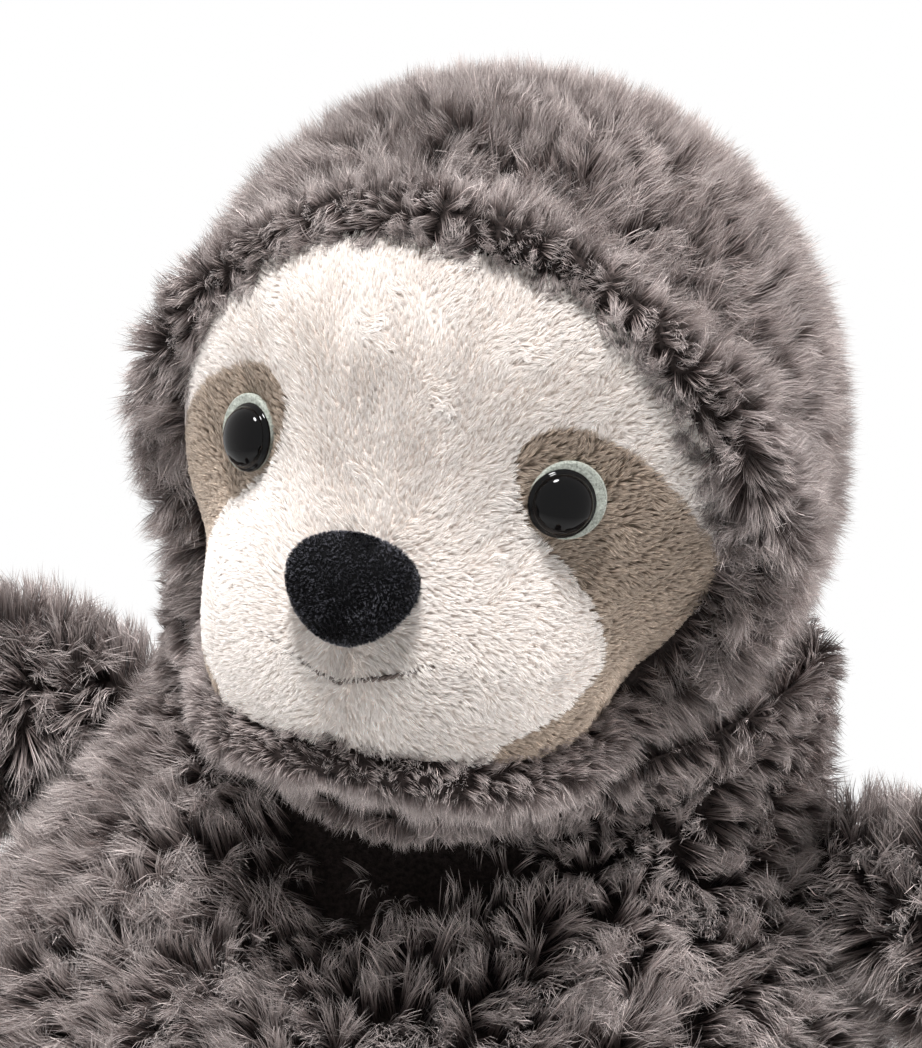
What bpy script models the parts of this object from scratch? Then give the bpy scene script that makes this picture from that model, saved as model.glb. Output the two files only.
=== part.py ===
"""A seated plush sloth: long-pile covers, polyester stuffing, a short-pile face, safety eyes and cloth claws.

The toy faces -Y and sits on the floor at Z = 0, with its own left at +X. Lengths are in metres, angles in
degrees. Each cover is as thick as its fabric from backing to pile tips, so its outside is the toy's outline.
"""
import math

import bpy
import numpy as np
from mathutils import Matrix

# Fabrics, stuffing and gaps
body_pile = 0.009  # long-pile fabric of the body, from backing to pile tips
head_pile = 0.011  # longer pile of the hood
limb_pile = 0.008  # the same fabric, trimmed on arms and legs
face_pile = 0.003  # short-pile fabric of the face
seam_gap = 0.0003  # between pieces that touch
turning_gap = 0.0006  # between pieces that turn in each other
filling_gap = 0.0008  # between a cover and its stuffing
face_filling_gap = 0.0016
overrun = 0.004  # how far a cutter runs past what it cuts

# Body
body_height = 0.180
body_half_width = 0.091
body_half_depth = 0.078
body_setback = 0.020  # of the belly's middle, in front of the shoulders
pouch_radius = 0.040
pouch_height = 0.020

# Head, measured from the neck's turning point
neck_height = 0.195
neck_forward = 0.010
skull_radius = 0.055
skull_forward = 0.0
skull_rise = 0.0125
nape_radius = 0.0555
nape_back = 0.002
nape_drop = 0.001
jowl_radius = 0.0325
jowl_forward = 0.032
jowl_drop = 0.015
roll_radius = 0.0145  # of the hood's thick edge round the face
roll_sink = 0.0015
face_radius = 0.049
face_forward = 0.010
face_rise = 0.012
muzzle_radius = 0.033
muzzle_forward = 0.034
muzzle_drop = 0.018
socket_depth = 0.0048  # eye sockets pressed into the face
socket_width = 17.0
bridge_depth = 0.0035  # dip between forehead and nose
bridge_width = 14.0
bridge_rise = 8.0  # above the eyes
plug_radius = 0.014
neck_seat_angle = 38.0  # from straight down, where the head's stuffing is round about the neck
neck_turn = 25.0
neck_nod = 10.0
neck_spare = 4.0  # degrees that the body leaves free past the neck's limits

# Eyes, nose and mouth
eye_azimuth = 30.0
eye_elevation = 10.5
eye_splay = 32.0
eye_tilt = 3.0
eye_radius = 0.0053
eye_height = 0.0044
eye_flange = 0.0008
eye_inset = 0.0009  # of the dome on its ring, towards the nose
ring_radius = 0.0065
ring_thickness = 0.0010
ring_sink = 0.0005
shank_radius = 0.0019
shank_length = 0.0095
washer_radius = 0.0068
washer_thickness = 0.0012
washer_depth = 0.0050  # of a washer's front under the face's surface
nose_elevation = -5.0
nose_tilt = 14.0
nose_half_width = 0.0118
nose_half_height = 0.0083
nose_height = 0.0068
nose_skirt = 0.0045
mouth_elevation = -17.8
mouth_rise = 4.0
mouth_azimuth = 12.8
thread_radius = 0.00045

# Arms
shoulder_height = 0.1365
shoulder_back = 0.003
shoulder_inset = 0.0005
arm_reach = 0.065  # out from the shoulder to the hanging forearm
arm_drop = 0.1115
arm_forward = 0.058
arm_radius = 0.0225
arm_root_radius = 0.0155
arm_raise = 50.0

# Legs
hip_height = 0.031
hip_azimuth = 50.0
hip_inset = 0.002
leg_reach = 0.036  # out from the hip to the foot
leg_forward = 0.066
leg_rise = 0.010
leg_radius = 0.0225
leg_root_radius = 0.014
leg_raise = 35.0

# Claws
claw_length = 0.018
claw_radius = 0.0040
claw_tip_radius = 0.0014
claw_pitch = 0.0095
claw_sink = 0.008
claw_curl = 35.0
claw_spread = 9.0

# Shapes as shares of the sizes above: height, half width, half depth, setback
body_section_shares = (
    (0.000, 0.66, 0.64, 0.80),
    (0.045, 0.84, 0.82, 0.85),
    (0.140, 0.96, 0.96, 0.95),
    (0.280, 1.00, 1.00, 1.00),
    (0.420, 0.96, 0.965, 0.90),
    (0.530, 0.90, 0.885, 0.70),
    (0.625, 0.835, 0.80, 0.45),
    (0.700, 0.76, 0.72, 0.20),
    (0.770, 0.69, 0.66, 0.00),
    (0.840, 0.665, 0.63, -0.15),
    (0.910, 0.65, 0.61, -0.25),
    (0.965, 0.62, 0.58, -0.30),
    (1.000, 0.52, 0.48, -0.30),
)
# Degrees round the face's middle from the toy's left over its forehead, then the roll's thickness
roll_radius_shares = (
    (-180, 0.95), (-162, 1.0), (-142, 0.74), (-115, 0.48), (-90, 0.38), (-65, 0.48), (-38, 0.74), (-18, 1.0),
    (0, 0.95), (12, 0.68), (28, 0.46), (50, 0.42), (90, 0.5), (130, 0.42), (152, 0.46), (168, 0.68), (180, 0.95),
)
# Out, drop and forward along the arm, then its thickness
arm_path_shares = (
    (0.00, 0.00, 0.00, 0.689),
    (0.14, 0.00, 0.00, 0.78),
    (0.34, 0.02, 0.02, 0.96),
    (0.64, 0.12, 0.06, 0.97),
    (0.90, 0.30, 0.15, 0.97),
    (1.01, 0.50, 0.29, 0.93),
    (1.01, 0.73, 0.47, 0.91),
    (0.98, 0.90, 0.71, 0.90),
    (0.94, 1.00, 1.00, 0.86),
)
# Out, forward and rise along the leg, then its thickness
leg_path_shares = (
    (0.00, 0.00, 0.00, 0.622),
    (0.13, 0.13, -0.15, 0.68),
    (0.31, 0.31, -0.50, 0.92),
    (0.56, 0.56, -0.90, 1.00),
    (0.79, 0.79, -0.80, 0.98),
    (0.93, 0.92, -0.10, 0.93),
    (1.00, 1.00, 1.00, 0.84),
)
tip_share = 0.85  # how far a limb's tip rounds out, of its thickness there
root_hole_share = 0.27
nose_taper_share = 0.17
roll_overlap_share = 0.75  # how far the roll's middle lies outside the face's outline, of its radius
rim_share = 0.82
rim_blend_share = 0.45  # of the face, where its stuffing meets the hood's
dome_shares = (1.0, 0.67, 0.33)
nose_crown_share = 0.8  # how full the nose's dome is
mouth_bend_share = 0.75
claw_taper_share = 1.5  # how late a claw thins
claw_lag_share = 0.3  # how far the outer claws stay back
dome_turns = np.radians((0, 20, 39, 56, 68, 78))
cap_turns = np.radians((22, 48, 74))

# Outlines on the face, as azimuth and elevation seen from the neck's turning point
face_outline = (
    (0, 44), (13, 43.5), (26, 41), (40, 33), (51.5, 22), (59, 9), (64, -5), (62, -19), (53, -29),
    (39, -31), (24, -28.5), (10, -26), (0, -25.5),
)
face_middle = (0, 8)
patch_outline = (
    (27, 21.4), (20.8, 18.0), (20.4, 12.5), (22.5, 7.0), (27.0, 2.2), (31.5, -1.6), (36.0, -7.0),
    (39.5, -14.0), (39.0, -19.5), (31.0, -23.5), (22.0, -26.5), (26.0, -33.0), (45.0, -42.0),
    (68.0, -34.0), (76.0, -12.0), (66.0, -2.5), (58.5, 4.0), (49.5, 11.8), (44.5, 15.8), (38.5, 19.0),
    (33.0, 21.0),
)
patch_middle = (50, -20)

# Colours, as linear values
fur_colour = (0.150, 0.125, 0.118)
cream_colour = (0.790, 0.690, 0.590)
brown_colour = (0.270, 0.215, 0.165)
felt_colour = (0.600, 0.640, 0.560)
black_colour = (0.006, 0.006, 0.007)
thread_colour = (0.060, 0.055, 0.055)
filling_colour = (0.800, 0.800, 0.780)
calico_colour = (0.700, 0.660, 0.560)
clear_colour = (0.550, 0.560, 0.570)

ball_sides, ball_rows = 18, 10
up_axis = np.array((0.0, 0.0, 1.0))
side_axis = np.array((1.0, 0.0, 0.0))
neck = np.array((0.0, -neck_forward, neck_height))


# Meshes

def finish_of(name, colour, roughness):
    material = bpy.data.materials.new(name)
    material.use_nodes = True
    shader = material.node_tree.nodes["Principled BSDF"]
    shader.inputs["Base Color"].default_value = (*colour, 1.0)
    shader.inputs["Roughness"].default_value = roughness
    shader.inputs["Metallic"].default_value = 0.0
    material.diffuse_color = (*colour, 1.0)
    return material


def lofted(name, rings, colour=fur_colour, roughness=0.95, pivot=(0.0, 0.0, 0.0), poles=None):
    """A closed body through rings that run anticlockwise round the way they follow, turning about pivot.

    It ends in the two poles, or else in flat caps.
    """
    rings = np.asarray(rings, float) - pivot
    count, sides, _ = rings.shape
    ends = (rings[0].mean(0), rings[-1].mean(0)) if poles is None else np.asarray(poles) - pivot
    points = [tuple(p) for p in (*rings.reshape(-1, 3), *ends)]
    first_pole, last_pole = len(points) - 2, len(points) - 1
    last = (count - 1) * sides
    faces = []
    for j in range(sides):
        after = (j + 1) % sides
        faces.append((first_pole, after, j))
        for low in range(0, last, sides):
            faces.append((low + j, low + after, low + sides + after))
            faces.append((low + j, low + sides + after, low + sides + j))
        faces.append((last_pole, last + j, last + after))
    mesh = bpy.data.meshes.new(name)
    mesh.from_pydata(points, [], faces)
    mesh.shade_smooth()
    mesh.materials.append(finish_of(name, colour, roughness))
    body = bpy.data.objects.new(name, mesh)
    body.location = tuple(pivot)
    bpy.context.scene.collection.objects.link(body)
    return body


def as_cutter(body):
    body.hide_render = True
    body.display_type = "WIRE"
    return body


def combine(body, other, operation="DIFFERENCE"):
    step = body.modifiers.new(f"{operation.lower()} {other.name}", "BOOLEAN")
    step.object = other
    step.operation = operation
    step.solver = "EXACT"
    return body


def unit(vector):
    return np.asarray(vector, float) / np.linalg.norm(vector)


def frame_round(axis, towards=up_axis):
    """Two directions across an axis; the second one lies nearest to the given direction."""
    axis = unit(axis)
    second = unit(towards - axis * np.dot(towards, axis))
    return np.cross(second, axis), second


def turned(name, origin, axis, profile, sides=16, **look):
    """A body of revolution: profile holds how far along the axis, and how far from it."""
    first, second = frame_round(axis, up_axis if abs(unit(axis)[2]) < 0.9 else np.array((0.0, 1.0, 0.0)))
    turns = np.arange(sides) * 2 * math.pi / sides
    across = np.cos(turns)[:, None] * first + np.sin(turns)[:, None] * second
    rings = [np.asarray(origin) + unit(axis) * far + across * radius for far, radius in profile]
    return lofted(name, rings, **look)


def rod(name, origin, axis, radius, start, end, sides=16, **look):
    return turned(name, origin, axis, ((start, radius), (end, radius)), sides, **look)


def ball(name, centre, radius):
    tilts = np.linspace(-math.pi / 2, math.pi / 2, ball_rows + 1)[1:-1]
    profile = [(radius * math.sin(tilt), radius * math.cos(tilt)) for tilt in tilts]
    poles = (centre - radius * up_axis, centre + radius * up_axis)
    return as_cutter(turned(name, centre, up_axis, profile, ball_sides, poles=poles))


def hollow_ball(name, centre, radius):
    """A ball whose flats, instead of its corners, lie at the radius."""
    return ball(name, centre, radius / (math.cos(math.pi / ball_sides) * math.cos(math.pi / ball_rows / 2)))


def on_the_right(body):
    """The mirror image of a left-hand body, with the cutters that it needs."""
    if "left" not in body.name:
        return body
    name = body.name.replace("left", "right")
    if name in bpy.data.objects:
        return bpy.data.objects[name]
    image = body.copy()
    image.name = name
    image.data = body.data.copy()
    image.data.name = name
    image.data.transform(Matrix.Diagonal((-1.0, 1.0, 1.0, 1.0)))
    image.data.flip_normals()
    image.location.x = -body.location.x
    finish = body.data.materials[0].copy()
    finish.name = name
    image.data.materials[0] = finish
    bpy.context.scene.collection.objects.link(image)
    for step in image.modifiers:
        step.object = on_the_right(step.object)
    return image


def rotated(points, pivot, axis, degrees):
    """Points turned about an axis through the pivot, by the right-hand rule."""
    turn, away = math.radians(degrees), np.asarray(points) - pivot
    return (pivot + away * math.cos(turn) + np.cross(axis, away) * math.sin(turn)
            + (away @ axis)[..., None] * axis * (1 - math.cos(turn)))


def along(knots, values, where):
    """A smooth curve through rows of values at rising knots."""
    knots, values = np.asarray(knots, float), np.asarray(values, float)
    slopes = np.gradient(values, knots, axis=0)
    i = np.clip(np.searchsorted(knots, where, side="right") - 1, 0, len(knots) - 2)
    width = (knots[i + 1] - knots[i])[:, None]
    t = ((np.asarray(where) - knots[i]) / (knots[i + 1] - knots[i]))[:, None]
    return ((1 + 2 * t) * (1 - t) ** 2 * values[i] + t * (1 - t) ** 2 * width * slopes[i]
            + t * t * (3 - 2 * t) * values[i + 1] + t * t * (t - 1) * width * slopes[i + 1])


def smooth_step(x):
    x = np.clip(x, 0.0, 1.0)
    return x * x * (3 - 2 * x)


# Head shapes, as how far each direction reaches from the neck's turning point

def direction(azimuth, elevation):
    """Azimuth 0 is the toy's front; it grows towards the toy's left."""
    azimuth, elevation = np.radians(azimuth), np.radians(elevation)
    return np.stack((np.sin(azimuth) * np.cos(elevation), -np.cos(azimuth) * np.cos(elevation),
                     np.sin(elevation) * np.ones_like(azimuth)), -1)


def angles_of(ways):
    return np.stack((np.degrees(np.arctan2(ways[..., 0], -ways[..., 1])),
                     np.degrees(np.arcsin(np.clip(ways[..., 2], -1, 1)))), -1)


def sphere_reach(ways, forward, rise, radius):
    depth = ways @ np.array((0.0, -forward, rise))
    room = depth ** 2 + radius ** 2 - forward ** 2 - rise ** 2
    return np.where(room > 0, depth + np.sqrt(np.maximum(room, 0)), 0).clip(0)


def merged(reaches, softness=20):
    """The outside of several spheres at once, rounded where they meet."""
    largest = np.max(reaches, axis=0)
    return largest * np.sum([(reach / largest) ** softness for reach in reaches], axis=0) ** (1 / softness)


def dent(ways, azimuth, elevation, width):
    near = np.degrees(np.arccos(np.clip(ways @ direction(azimuth, elevation), -1, 1)))
    return np.exp(-(near / width) ** 2)


def face_reach(ways):
    reach = merged((
        sphere_reach(ways, face_forward, face_rise, face_radius),
        sphere_reach(ways, muzzle_forward, -muzzle_drop, muzzle_radius),
    ))
    for side in (1, -1):
        reach = reach - socket_depth * dent(ways, side * eye_azimuth, eye_elevation, socket_width)
    return reach - bridge_depth * dent(ways, 0, eye_elevation + bridge_rise, bridge_width)


def closed_curve(corners, count):
    """Points along a smooth closed curve through the corners."""
    corners = np.asarray(corners, float)
    looped = np.concatenate((corners[-2:], corners, corners[:3]))
    knots = np.arange(-2, len(corners) + 3)
    return along(knots, looped, np.linspace(0, len(corners), count, endpoint=False))


def face_corners():
    left = [(-a, e) for a, e in face_outline]
    return left + [(a, e) for a, e in reversed(face_outline[1:-1])]


def round_face(ways):
    """Degrees from the face's middle, degrees from there to its outline, and the turn round it."""
    outline = closed_curve(face_corners(), 144) - face_middle
    turns = np.arctan2(outline[:, 1], outline[:, 0])
    order = np.argsort(turns)
    away = angles_of(ways) - face_middle
    turn = np.arctan2(away[..., 1], away[..., 0])
    edge = np.interp(turn, turns[order], np.linalg.norm(outline, axis=1)[order], period=2 * math.pi)
    return np.linalg.norm(away, axis=-1), edge, turn


def roll_reach(ways):
    """The hood's edge, rolled round the face."""
    away, edge, turn = round_face(ways)
    radius = roll_radius * np.interp(np.degrees(turn), *np.transpose(roll_radius_shares))
    depth = face_reach(ways) - roll_sink
    off = np.radians(away - edge) - roll_overlap_share * radius / depth
    room = radius ** 2 - (depth * np.sin(off)) ** 2
    near = (room > 0) & (np.abs(off) < math.pi / 4)
    return np.where(near, depth * np.cos(off) + np.sqrt(np.maximum(room, 0)), 0)


def hood_reach(ways):
    """The hood without its rolled edge."""
    return merged((
        sphere_reach(ways, skull_forward, skull_rise, skull_radius),
        sphere_reach(ways, -nape_back, -nape_drop, nape_radius),
        sphere_reach(ways, jowl_forward, -jowl_drop, jowl_radius),
    ))


def head_reach(ways):
    return merged((hood_reach(ways), roll_reach(ways)))


def head_stuffing_reach(ways):
    """Fills the face inside its fabric and the hood inside its own, and eases from one to the other."""
    face = face_reach(ways) - face_pile - face_filling_gap
    hood = hood_reach(ways) - head_pile - filling_gap
    least = np.minimum(face, hood)
    away, edge, _ = round_face(ways)
    out = away / edge
    reach = (least + smooth_step((rim_share - out) / rim_blend_share) * (face - least)
             + smooth_step((out - 1) / rim_blend_share - 0.4) * (hood - least))
    down = np.degrees(np.arccos(np.clip(-ways @ up_axis, -1, 1)))
    return np.where(down < neck_seat_angle, np.minimum(reach, neck_seat_reach()), reach)


def neck_seat_reach():
    """The head's stuffing is round about the neck's turning point where it rests on the neck's."""
    return nape_radius - head_pile - filling_gap


def swept(reach, ways):
    """The farthest that a shape reaches in each direction while the neck turns and nods."""
    farthest = np.zeros(len(ways))
    for turn in np.linspace(-neck_turn - neck_spare, neck_turn + neck_spare, 13):
        for nod in np.linspace(-neck_nod - neck_spare, neck_nod + neck_spare, 7):
            before = rotated(rotated(ways, 0.0, up_axis, turn), 0.0, side_axis, nod)
            farthest = np.maximum(farthest, reach(before))
    return farthest


def seat_reach(ways):
    return swept(head_reach, ways) + turning_gap


def round_neck(name, reach, sides=28, rows=16, **look):
    """A body that reaches this far from the neck's turning point in every direction."""
    turns = np.arange(sides) * 360 / sides
    rings = []
    for tilt in np.linspace(-90, 90, rows + 1)[1:-1]:
        ways = direction(turns, np.full(sides, tilt))
        rings.append(neck + ways * reach(ways)[:, None])
    ends = np.array((-up_axis, up_axis))
    return lofted(name, rings, poles=neck + ends * reach(ends)[:, None], **look)


def round_neck_cutter(name, reach, sides=24, rows=13):
    """The same as a cutter, whose flats touch the shape instead of its corners."""
    flats = math.cos(math.pi / sides) * math.cos(math.pi / rows / 2)
    return as_cutter(round_neck(name, lambda ways: reach(ways) / flats, sides, rows))


def prism_ends():
    """From well inside the face to well outside the hood."""
    return face_radius - head_pile * 2, face_radius + head_pile * 4


def face_prism(name, corners, middle, inner, outer, grow, count):
    """A cutter with this outline, seen from the neck's turning point, from one reach to another."""
    outline = closed_curve(corners, count)
    along_it = np.roll(outline, -1, axis=0) - np.roll(outline, 1, axis=0)
    outward = np.stack((along_it[:, 1], -along_it[:, 0]), -1) / np.linalg.norm(along_it, axis=1)[:, None]
    away = outline + outward * grow - middle
    rings = [neck + direction(*(away + middle).T) * inner]
    rings += [neck + direction(*(away * share + middle).T) * outer for share in dome_shares]
    return as_cutter(lofted(name, rings))


# Body

def body_rings(inset, sides, rows):
    heights = np.linspace(inset, body_height - inset, rows)
    shares = np.asarray(body_section_shares)
    turns = np.arange(sides) * 2 * math.pi / sides
    rings = []
    for height, (wide, deep, back) in zip(heights, along(shares[:, 0], shares[:, 1:], heights / body_height)):
        rings.append(np.stack((
            (wide * body_half_width - inset) * np.cos(turns),
            (deep * body_half_depth - inset) * np.sin(turns) - back * body_setback,
            np.full(sides, height),
        ), -1))
    return rings


def body_side(height, azimuth):
    """The point on the body's outline at a height, azimuth degrees round from its left towards its front."""
    shares = np.asarray(body_section_shares)
    wide, deep, back = along(shares[:, 0], shares[:, 1:], np.array((height / body_height,)))[0]
    turn = math.radians(azimuth)
    return np.array((wide * body_half_width * math.cos(turn),
                     -deep * body_half_depth * math.sin(turn) - back * body_setback, height))


def shoulder():
    return np.array((body_side(shoulder_height, 0)[0] - shoulder_inset, shoulder_back, shoulder_height))


def hip():
    return body_side(hip_height, hip_azimuth) + np.array((0.0, hip_inset, 0.0))


def make_body():
    cover = lofted("body_cover", body_rings(0, 28, 15))
    cavity = as_cutter(lofted("body_cavity", body_rings(body_pile, 20, 9)))
    stuffing = lofted("body_stuffing", body_rings(body_pile + filling_gap, 20, 9), filling_colour)
    seats = [
        round_neck_cutter(f"head_seat_{i}", lambda ways, more=more: seat_reach(ways) + more)
        for i, more in enumerate((0, body_pile, body_pile + filling_gap))
    ]
    combine(cavity, seats[1])
    combine(cover, seats[0])
    combine(cover, cavity)
    combine(stuffing, seats[2])
    for name, place, radius in (("shoulder", shoulder(), arm_root_radius), ("hip", hip(), leg_root_radius)):
        left = hollow_ball(f"{name}_socket_left", place, radius + turning_gap)
        for socket in (left, on_the_right(left)):
            combine(cover, socket)
            combine(stuffing, socket)
    down = -up_axis
    depth = seat_reach(down[None, :])[0]
    start, end = depth - overrun, depth + body_pile + overrun
    combine(cover, as_cutter(rod("body_neck_hole", neck, down, plug_radius + turning_gap, start, end)))
    make_pouch(stuffing)


def make_pouch(stuffing):
    """The pellet pouch that weighs the seat down, in a hollow under the stuffing."""
    floor = body_pile + seam_gap
    middle = np.array((0.0, -body_setback, floor))
    dome = [(pouch_height * math.sin(t), pouch_radius * math.cos(t)) for t in dome_turns]
    turned("pellet_pouch", middle, up_axis, dome, 20, colour=calico_colour)
    high, wide = pouch_height + seam_gap, pouch_radius + seam_gap
    hollow = [(-overrun, wide)] + [(high * math.sin(t), wide * math.cos(t)) for t in dome_turns]
    combine(stuffing, as_cutter(turned("pouch_hollow", middle, up_axis, hollow, 20)))


# Head

def make_head():
    hood = round_neck("head_cover", head_reach, 30, 19, colour=fur_colour, pivot=neck)
    lining = round_neck_cutter("hood_lining", lambda ways: hood_reach(ways) - head_pile, 24, 13)
    stuffing = round_neck("head_stuffing", head_stuffing_reach, 36, 20, colour=filling_colour, pivot=neck)
    combine(hood, lining)
    gap_angle = math.degrees(seam_gap / face_radius)
    combine(hood, face_prism("face_opening", face_corners(), face_middle, *prism_ends(), gap_angle, 48))
    down = -up_axis
    depth = head_reach(down[None, :])[0]
    half_angle = math.asin((plug_radius + turning_gap) / neck_seat_reach()) + math.radians(neck_nod)
    near = (depth - head_pile - overrun) * math.cos(half_angle)
    flare = [(far, far * math.tan(half_angle)) for far in (near, depth + overrun)]
    hole = turned("hood_neck_hole", neck, down, flare, 20)
    combine(hood, as_cutter(hole))
    make_neck_plug()
    face = make_face()
    make_eyes(make_patch(face), face, stuffing)
    make_nose(face, stuffing)
    make_mouth()


def make_neck_plug():
    """The stuffing in the neck, from the body's stuffing to the head's, which it cups."""
    turns = np.arange(24) * 360 / 24
    plug = []
    around = direction(turns, np.full(24, -90 + math.degrees(math.atan(plug_radius / nape_radius))))
    body_reach = seat_reach(around).min() + body_pile + filling_gap
    for reach in (neck_seat_reach() + seam_gap, body_reach - seam_gap):
        leans = np.degrees(np.arcsin(plug_radius / reach)) * np.array(dome_shares)
        plug.append([neck + direction(turns, np.full(24, lean - 90)) * reach for lean in leans])
    inner, outer = plug
    lofted("neck_stuffing", outer[::-1] + inner, filling_colour, pivot=neck)


def make_face():
    outline = closed_curve(face_corners(), 48) - face_middle
    shares = np.linspace(0, 1, 7)[1:]
    rings = []
    for share in shares:
        ways = direction(*(outline * share + face_middle).T)
        rings.append(neck + ways * (face_reach(ways) - face_pile)[:, None])
    for share in reversed(shares):
        ways = direction(*(outline * share + face_middle).T)
        rings.append(neck + ways * face_reach(ways)[:, None])
    return lofted("face_panel", rings, cream_colour, pivot=neck)


def make_patch(face):
    """The left one of the brown pieces let into the face, which starts as a copy of it."""
    patch = face.copy()
    patch.data = face.data.copy()
    patch.name = patch.data.name = "eye_patch_left"
    patch.data.materials.clear()
    patch.data.materials.append(finish_of(patch.name, brown_colour, 0.95))
    bpy.context.scene.collection.objects.link(patch)
    ends = prism_ends()
    gap_angle = math.degrees(seam_gap / face_radius)
    combine(patch, face_prism("patch_shape_left", patch_outline, patch_middle, *ends, 0, 42), "INTERSECT")
    opening = face_prism("patch_opening_left", patch_outline, patch_middle, *ends, gap_angle, 42)
    combine(face, opening)
    combine(face, on_the_right(opening))
    return patch


def make_eyes(patch, face, stuffing):
    way = direction(eye_azimuth, eye_elevation)
    place = neck + way * face_reach(way[None, :])[0]
    axis = direction(eye_splay, eye_tilt)
    centre = place - frame_round(axis)[0] * eye_inset
    front = ring_thickness - ring_sink
    base = front + seam_gap
    bulge = eye_height - eye_flange
    stem = [(-shank_length, shank_radius), (base - seam_gap / 2, shank_radius), (base, shank_radius)]
    dome = [(base, eye_radius)]
    dome += [(base + eye_flange + bulge * math.sin(t), eye_radius * math.cos(t)) for t in dome_turns]
    eye = turned("eye_left", centre, axis, stem + dome, 18, colour=black_colour, roughness=0.05, pivot=neck)
    felt = {"colour": felt_colour, "pivot": neck}
    ring = rod("eye_ring_left", place, axis, ring_radius, -ring_sink, front, 22, **felt)
    washer = make_washer("eye_washer_left", centre, axis)
    bore = make_bore("eye_bore_left", centre, axis)
    seat = as_cutter(rod("eye_seat_left", place, axis, ring_radius + seam_gap, -ring_sink - seam_gap,
                         ring_radius, 22))
    pocket = make_pocket("eye_pocket_left", centre, axis)
    combine(ring, bore)
    combine(washer, bore)
    combine(patch, seat)
    combine(patch, bore)
    for body in (patch, eye, ring, washer):
        on_the_right(body)
    combine(face, seat)
    combine(face, on_the_right(seat))
    combine(stuffing, pocket)
    combine(stuffing, on_the_right(pocket))


def make_washer(name, centre, axis):
    look = {"colour": clear_colour, "roughness": 0.4, "pivot": neck}
    return rod(name, centre, axis, washer_radius, -washer_depth - washer_thickness, -washer_depth, **look)


def make_bore(name, centre, axis):
    """The hole that a shank goes through."""
    return as_cutter(rod(name, centre, axis, shank_radius + seam_gap, -shank_length - overrun, overrun))


def make_pocket(name, centre, axis):
    """Room in the head's stuffing for a washer and its shank."""
    radius, back = washer_radius + seam_gap, -shank_length - seam_gap
    return as_cutter(rod(name, centre, axis, radius, back, washer_radius))


def nose_ring(place, axis, far, share):
    """A rounded triangle, wide above and narrow below."""
    across, above = frame_round(axis)
    turns = np.arange(24) * 2 * math.pi / 24
    wide = nose_half_width * share * np.cos(turns) * (1 - nose_taper_share + nose_taper_share * np.sin(turns))
    high = nose_half_height * share * np.sin(turns)
    return place + axis * far + wide[:, None] * across + high[:, None] * above


def make_nose(face, stuffing):
    way = direction(0.0, nose_elevation)
    place = neck + way * face_reach(way[None, :])[0]
    axis = direction(0.0, nose_tilt)
    rings = [nose_ring(place, axis, -nose_skirt, 1.0)]
    for turn in dome_turns:
        rings.append(nose_ring(place, axis, nose_height * math.sin(turn), math.cos(turn) ** nose_crown_share))
    nose = lofted("nose", rings, black_colour, 0.9, pivot=neck)
    bed = as_cutter(round_neck("nose_bed", lambda ways: face_reach(ways) + seam_gap * 2, 72, 40))
    shank = as_cutter(rod("nose_shank", place, axis, shank_radius, -shank_length, nose_height / 2))
    combine(nose, bed)
    combine(nose, shank, "UNION")
    washer = make_washer("nose_washer", place, axis)
    bore = make_bore("nose_bore", place, axis)
    combine(washer, bore)
    combine(face, bore)
    combine(stuffing, make_pocket("nose_pocket", place, axis))


def make_mouth():
    azimuths = np.linspace(-mouth_azimuth, mouth_azimuth, 17)
    rises = mouth_rise * np.abs(azimuths / mouth_azimuth) ** mouth_bend_share
    ways = direction(azimuths, mouth_elevation + rises)
    path = neck + ways * (face_reach(ways) + thread_radius + seam_gap)[:, None]
    rings = tube_rings(path, np.full(len(path), thread_radius), 6)
    lofted("mouth_stitch", rings, thread_colour, pivot=neck)


# Limbs

def tube_rings(path, radii, sides):
    """Rings square to a path, without twist."""
    path = np.asarray(path)
    heading = np.gradient(path, axis=0)
    heading /= np.linalg.norm(heading, axis=1)[:, None]
    across = frame_round(heading[0], up_axis)[0]
    turns = np.arange(sides) * 2 * math.pi / sides
    rings = []
    for point, way, radius in zip(path, heading, radii):
        across = unit(across - way * np.dot(across, way))
        above = np.cross(way, across)
        rings.append(point + radius * (np.cos(turns)[:, None] * across + np.sin(turns)[:, None] * above))
    return rings


def limb_rings(knots, root_radius, inset, sides, rows):
    """Rings from a ball at the root to the limb's rounded tip. A knot is a place and a thickness."""
    fine = along(np.arange(len(knots)), knots, np.linspace(0, len(knots) - 1, 200))
    travelled = np.concatenate(((0,), np.cumsum(np.linalg.norm(np.diff(fine[:, :3], axis=0), axis=1))))
    stops = np.linspace(0, travelled[-1], rows)
    middle = np.stack([np.interp(stops, travelled, fine[:, k]) for k in range(4)], -1)
    first_way, last_way = unit(fine[1, :3] - fine[0, :3]), unit(fine[-1, :3] - fine[-2, :3])
    root, tip = root_radius - inset, middle[-1, 3] - inset
    path = [fine[0, :3] - first_way * root * math.cos(b) for b in cap_turns]
    radii = [root * math.sin(b) for b in cap_turns]
    path += list(middle[:, :3])
    radii += list(middle[:, 3] - inset)
    reach = middle[-1, 3] * tip_share - inset * tip_share
    path += [fine[-1, :3] + last_way * reach * math.sin(b) for b in cap_turns]
    radii += [tip * math.cos(b) for b in cap_turns]
    return tube_rings(path, radii, sides), fine[-1, :3], last_way, reach


def arm_knots():
    start = shoulder()
    return [(start[0] + arm_reach * out, start[1] - arm_forward * ahead, start[2] - arm_drop * drop,
             arm_radius * thick) for out, drop, ahead, thick in arm_path_shares]


def leg_knots():
    start = hip()
    return [(start[0] + leg_reach * out, start[1] - leg_forward * ahead, start[2] + leg_rise * rise,
             leg_radius * thick) for out, ahead, rise, thick in leg_path_shares]


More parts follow.
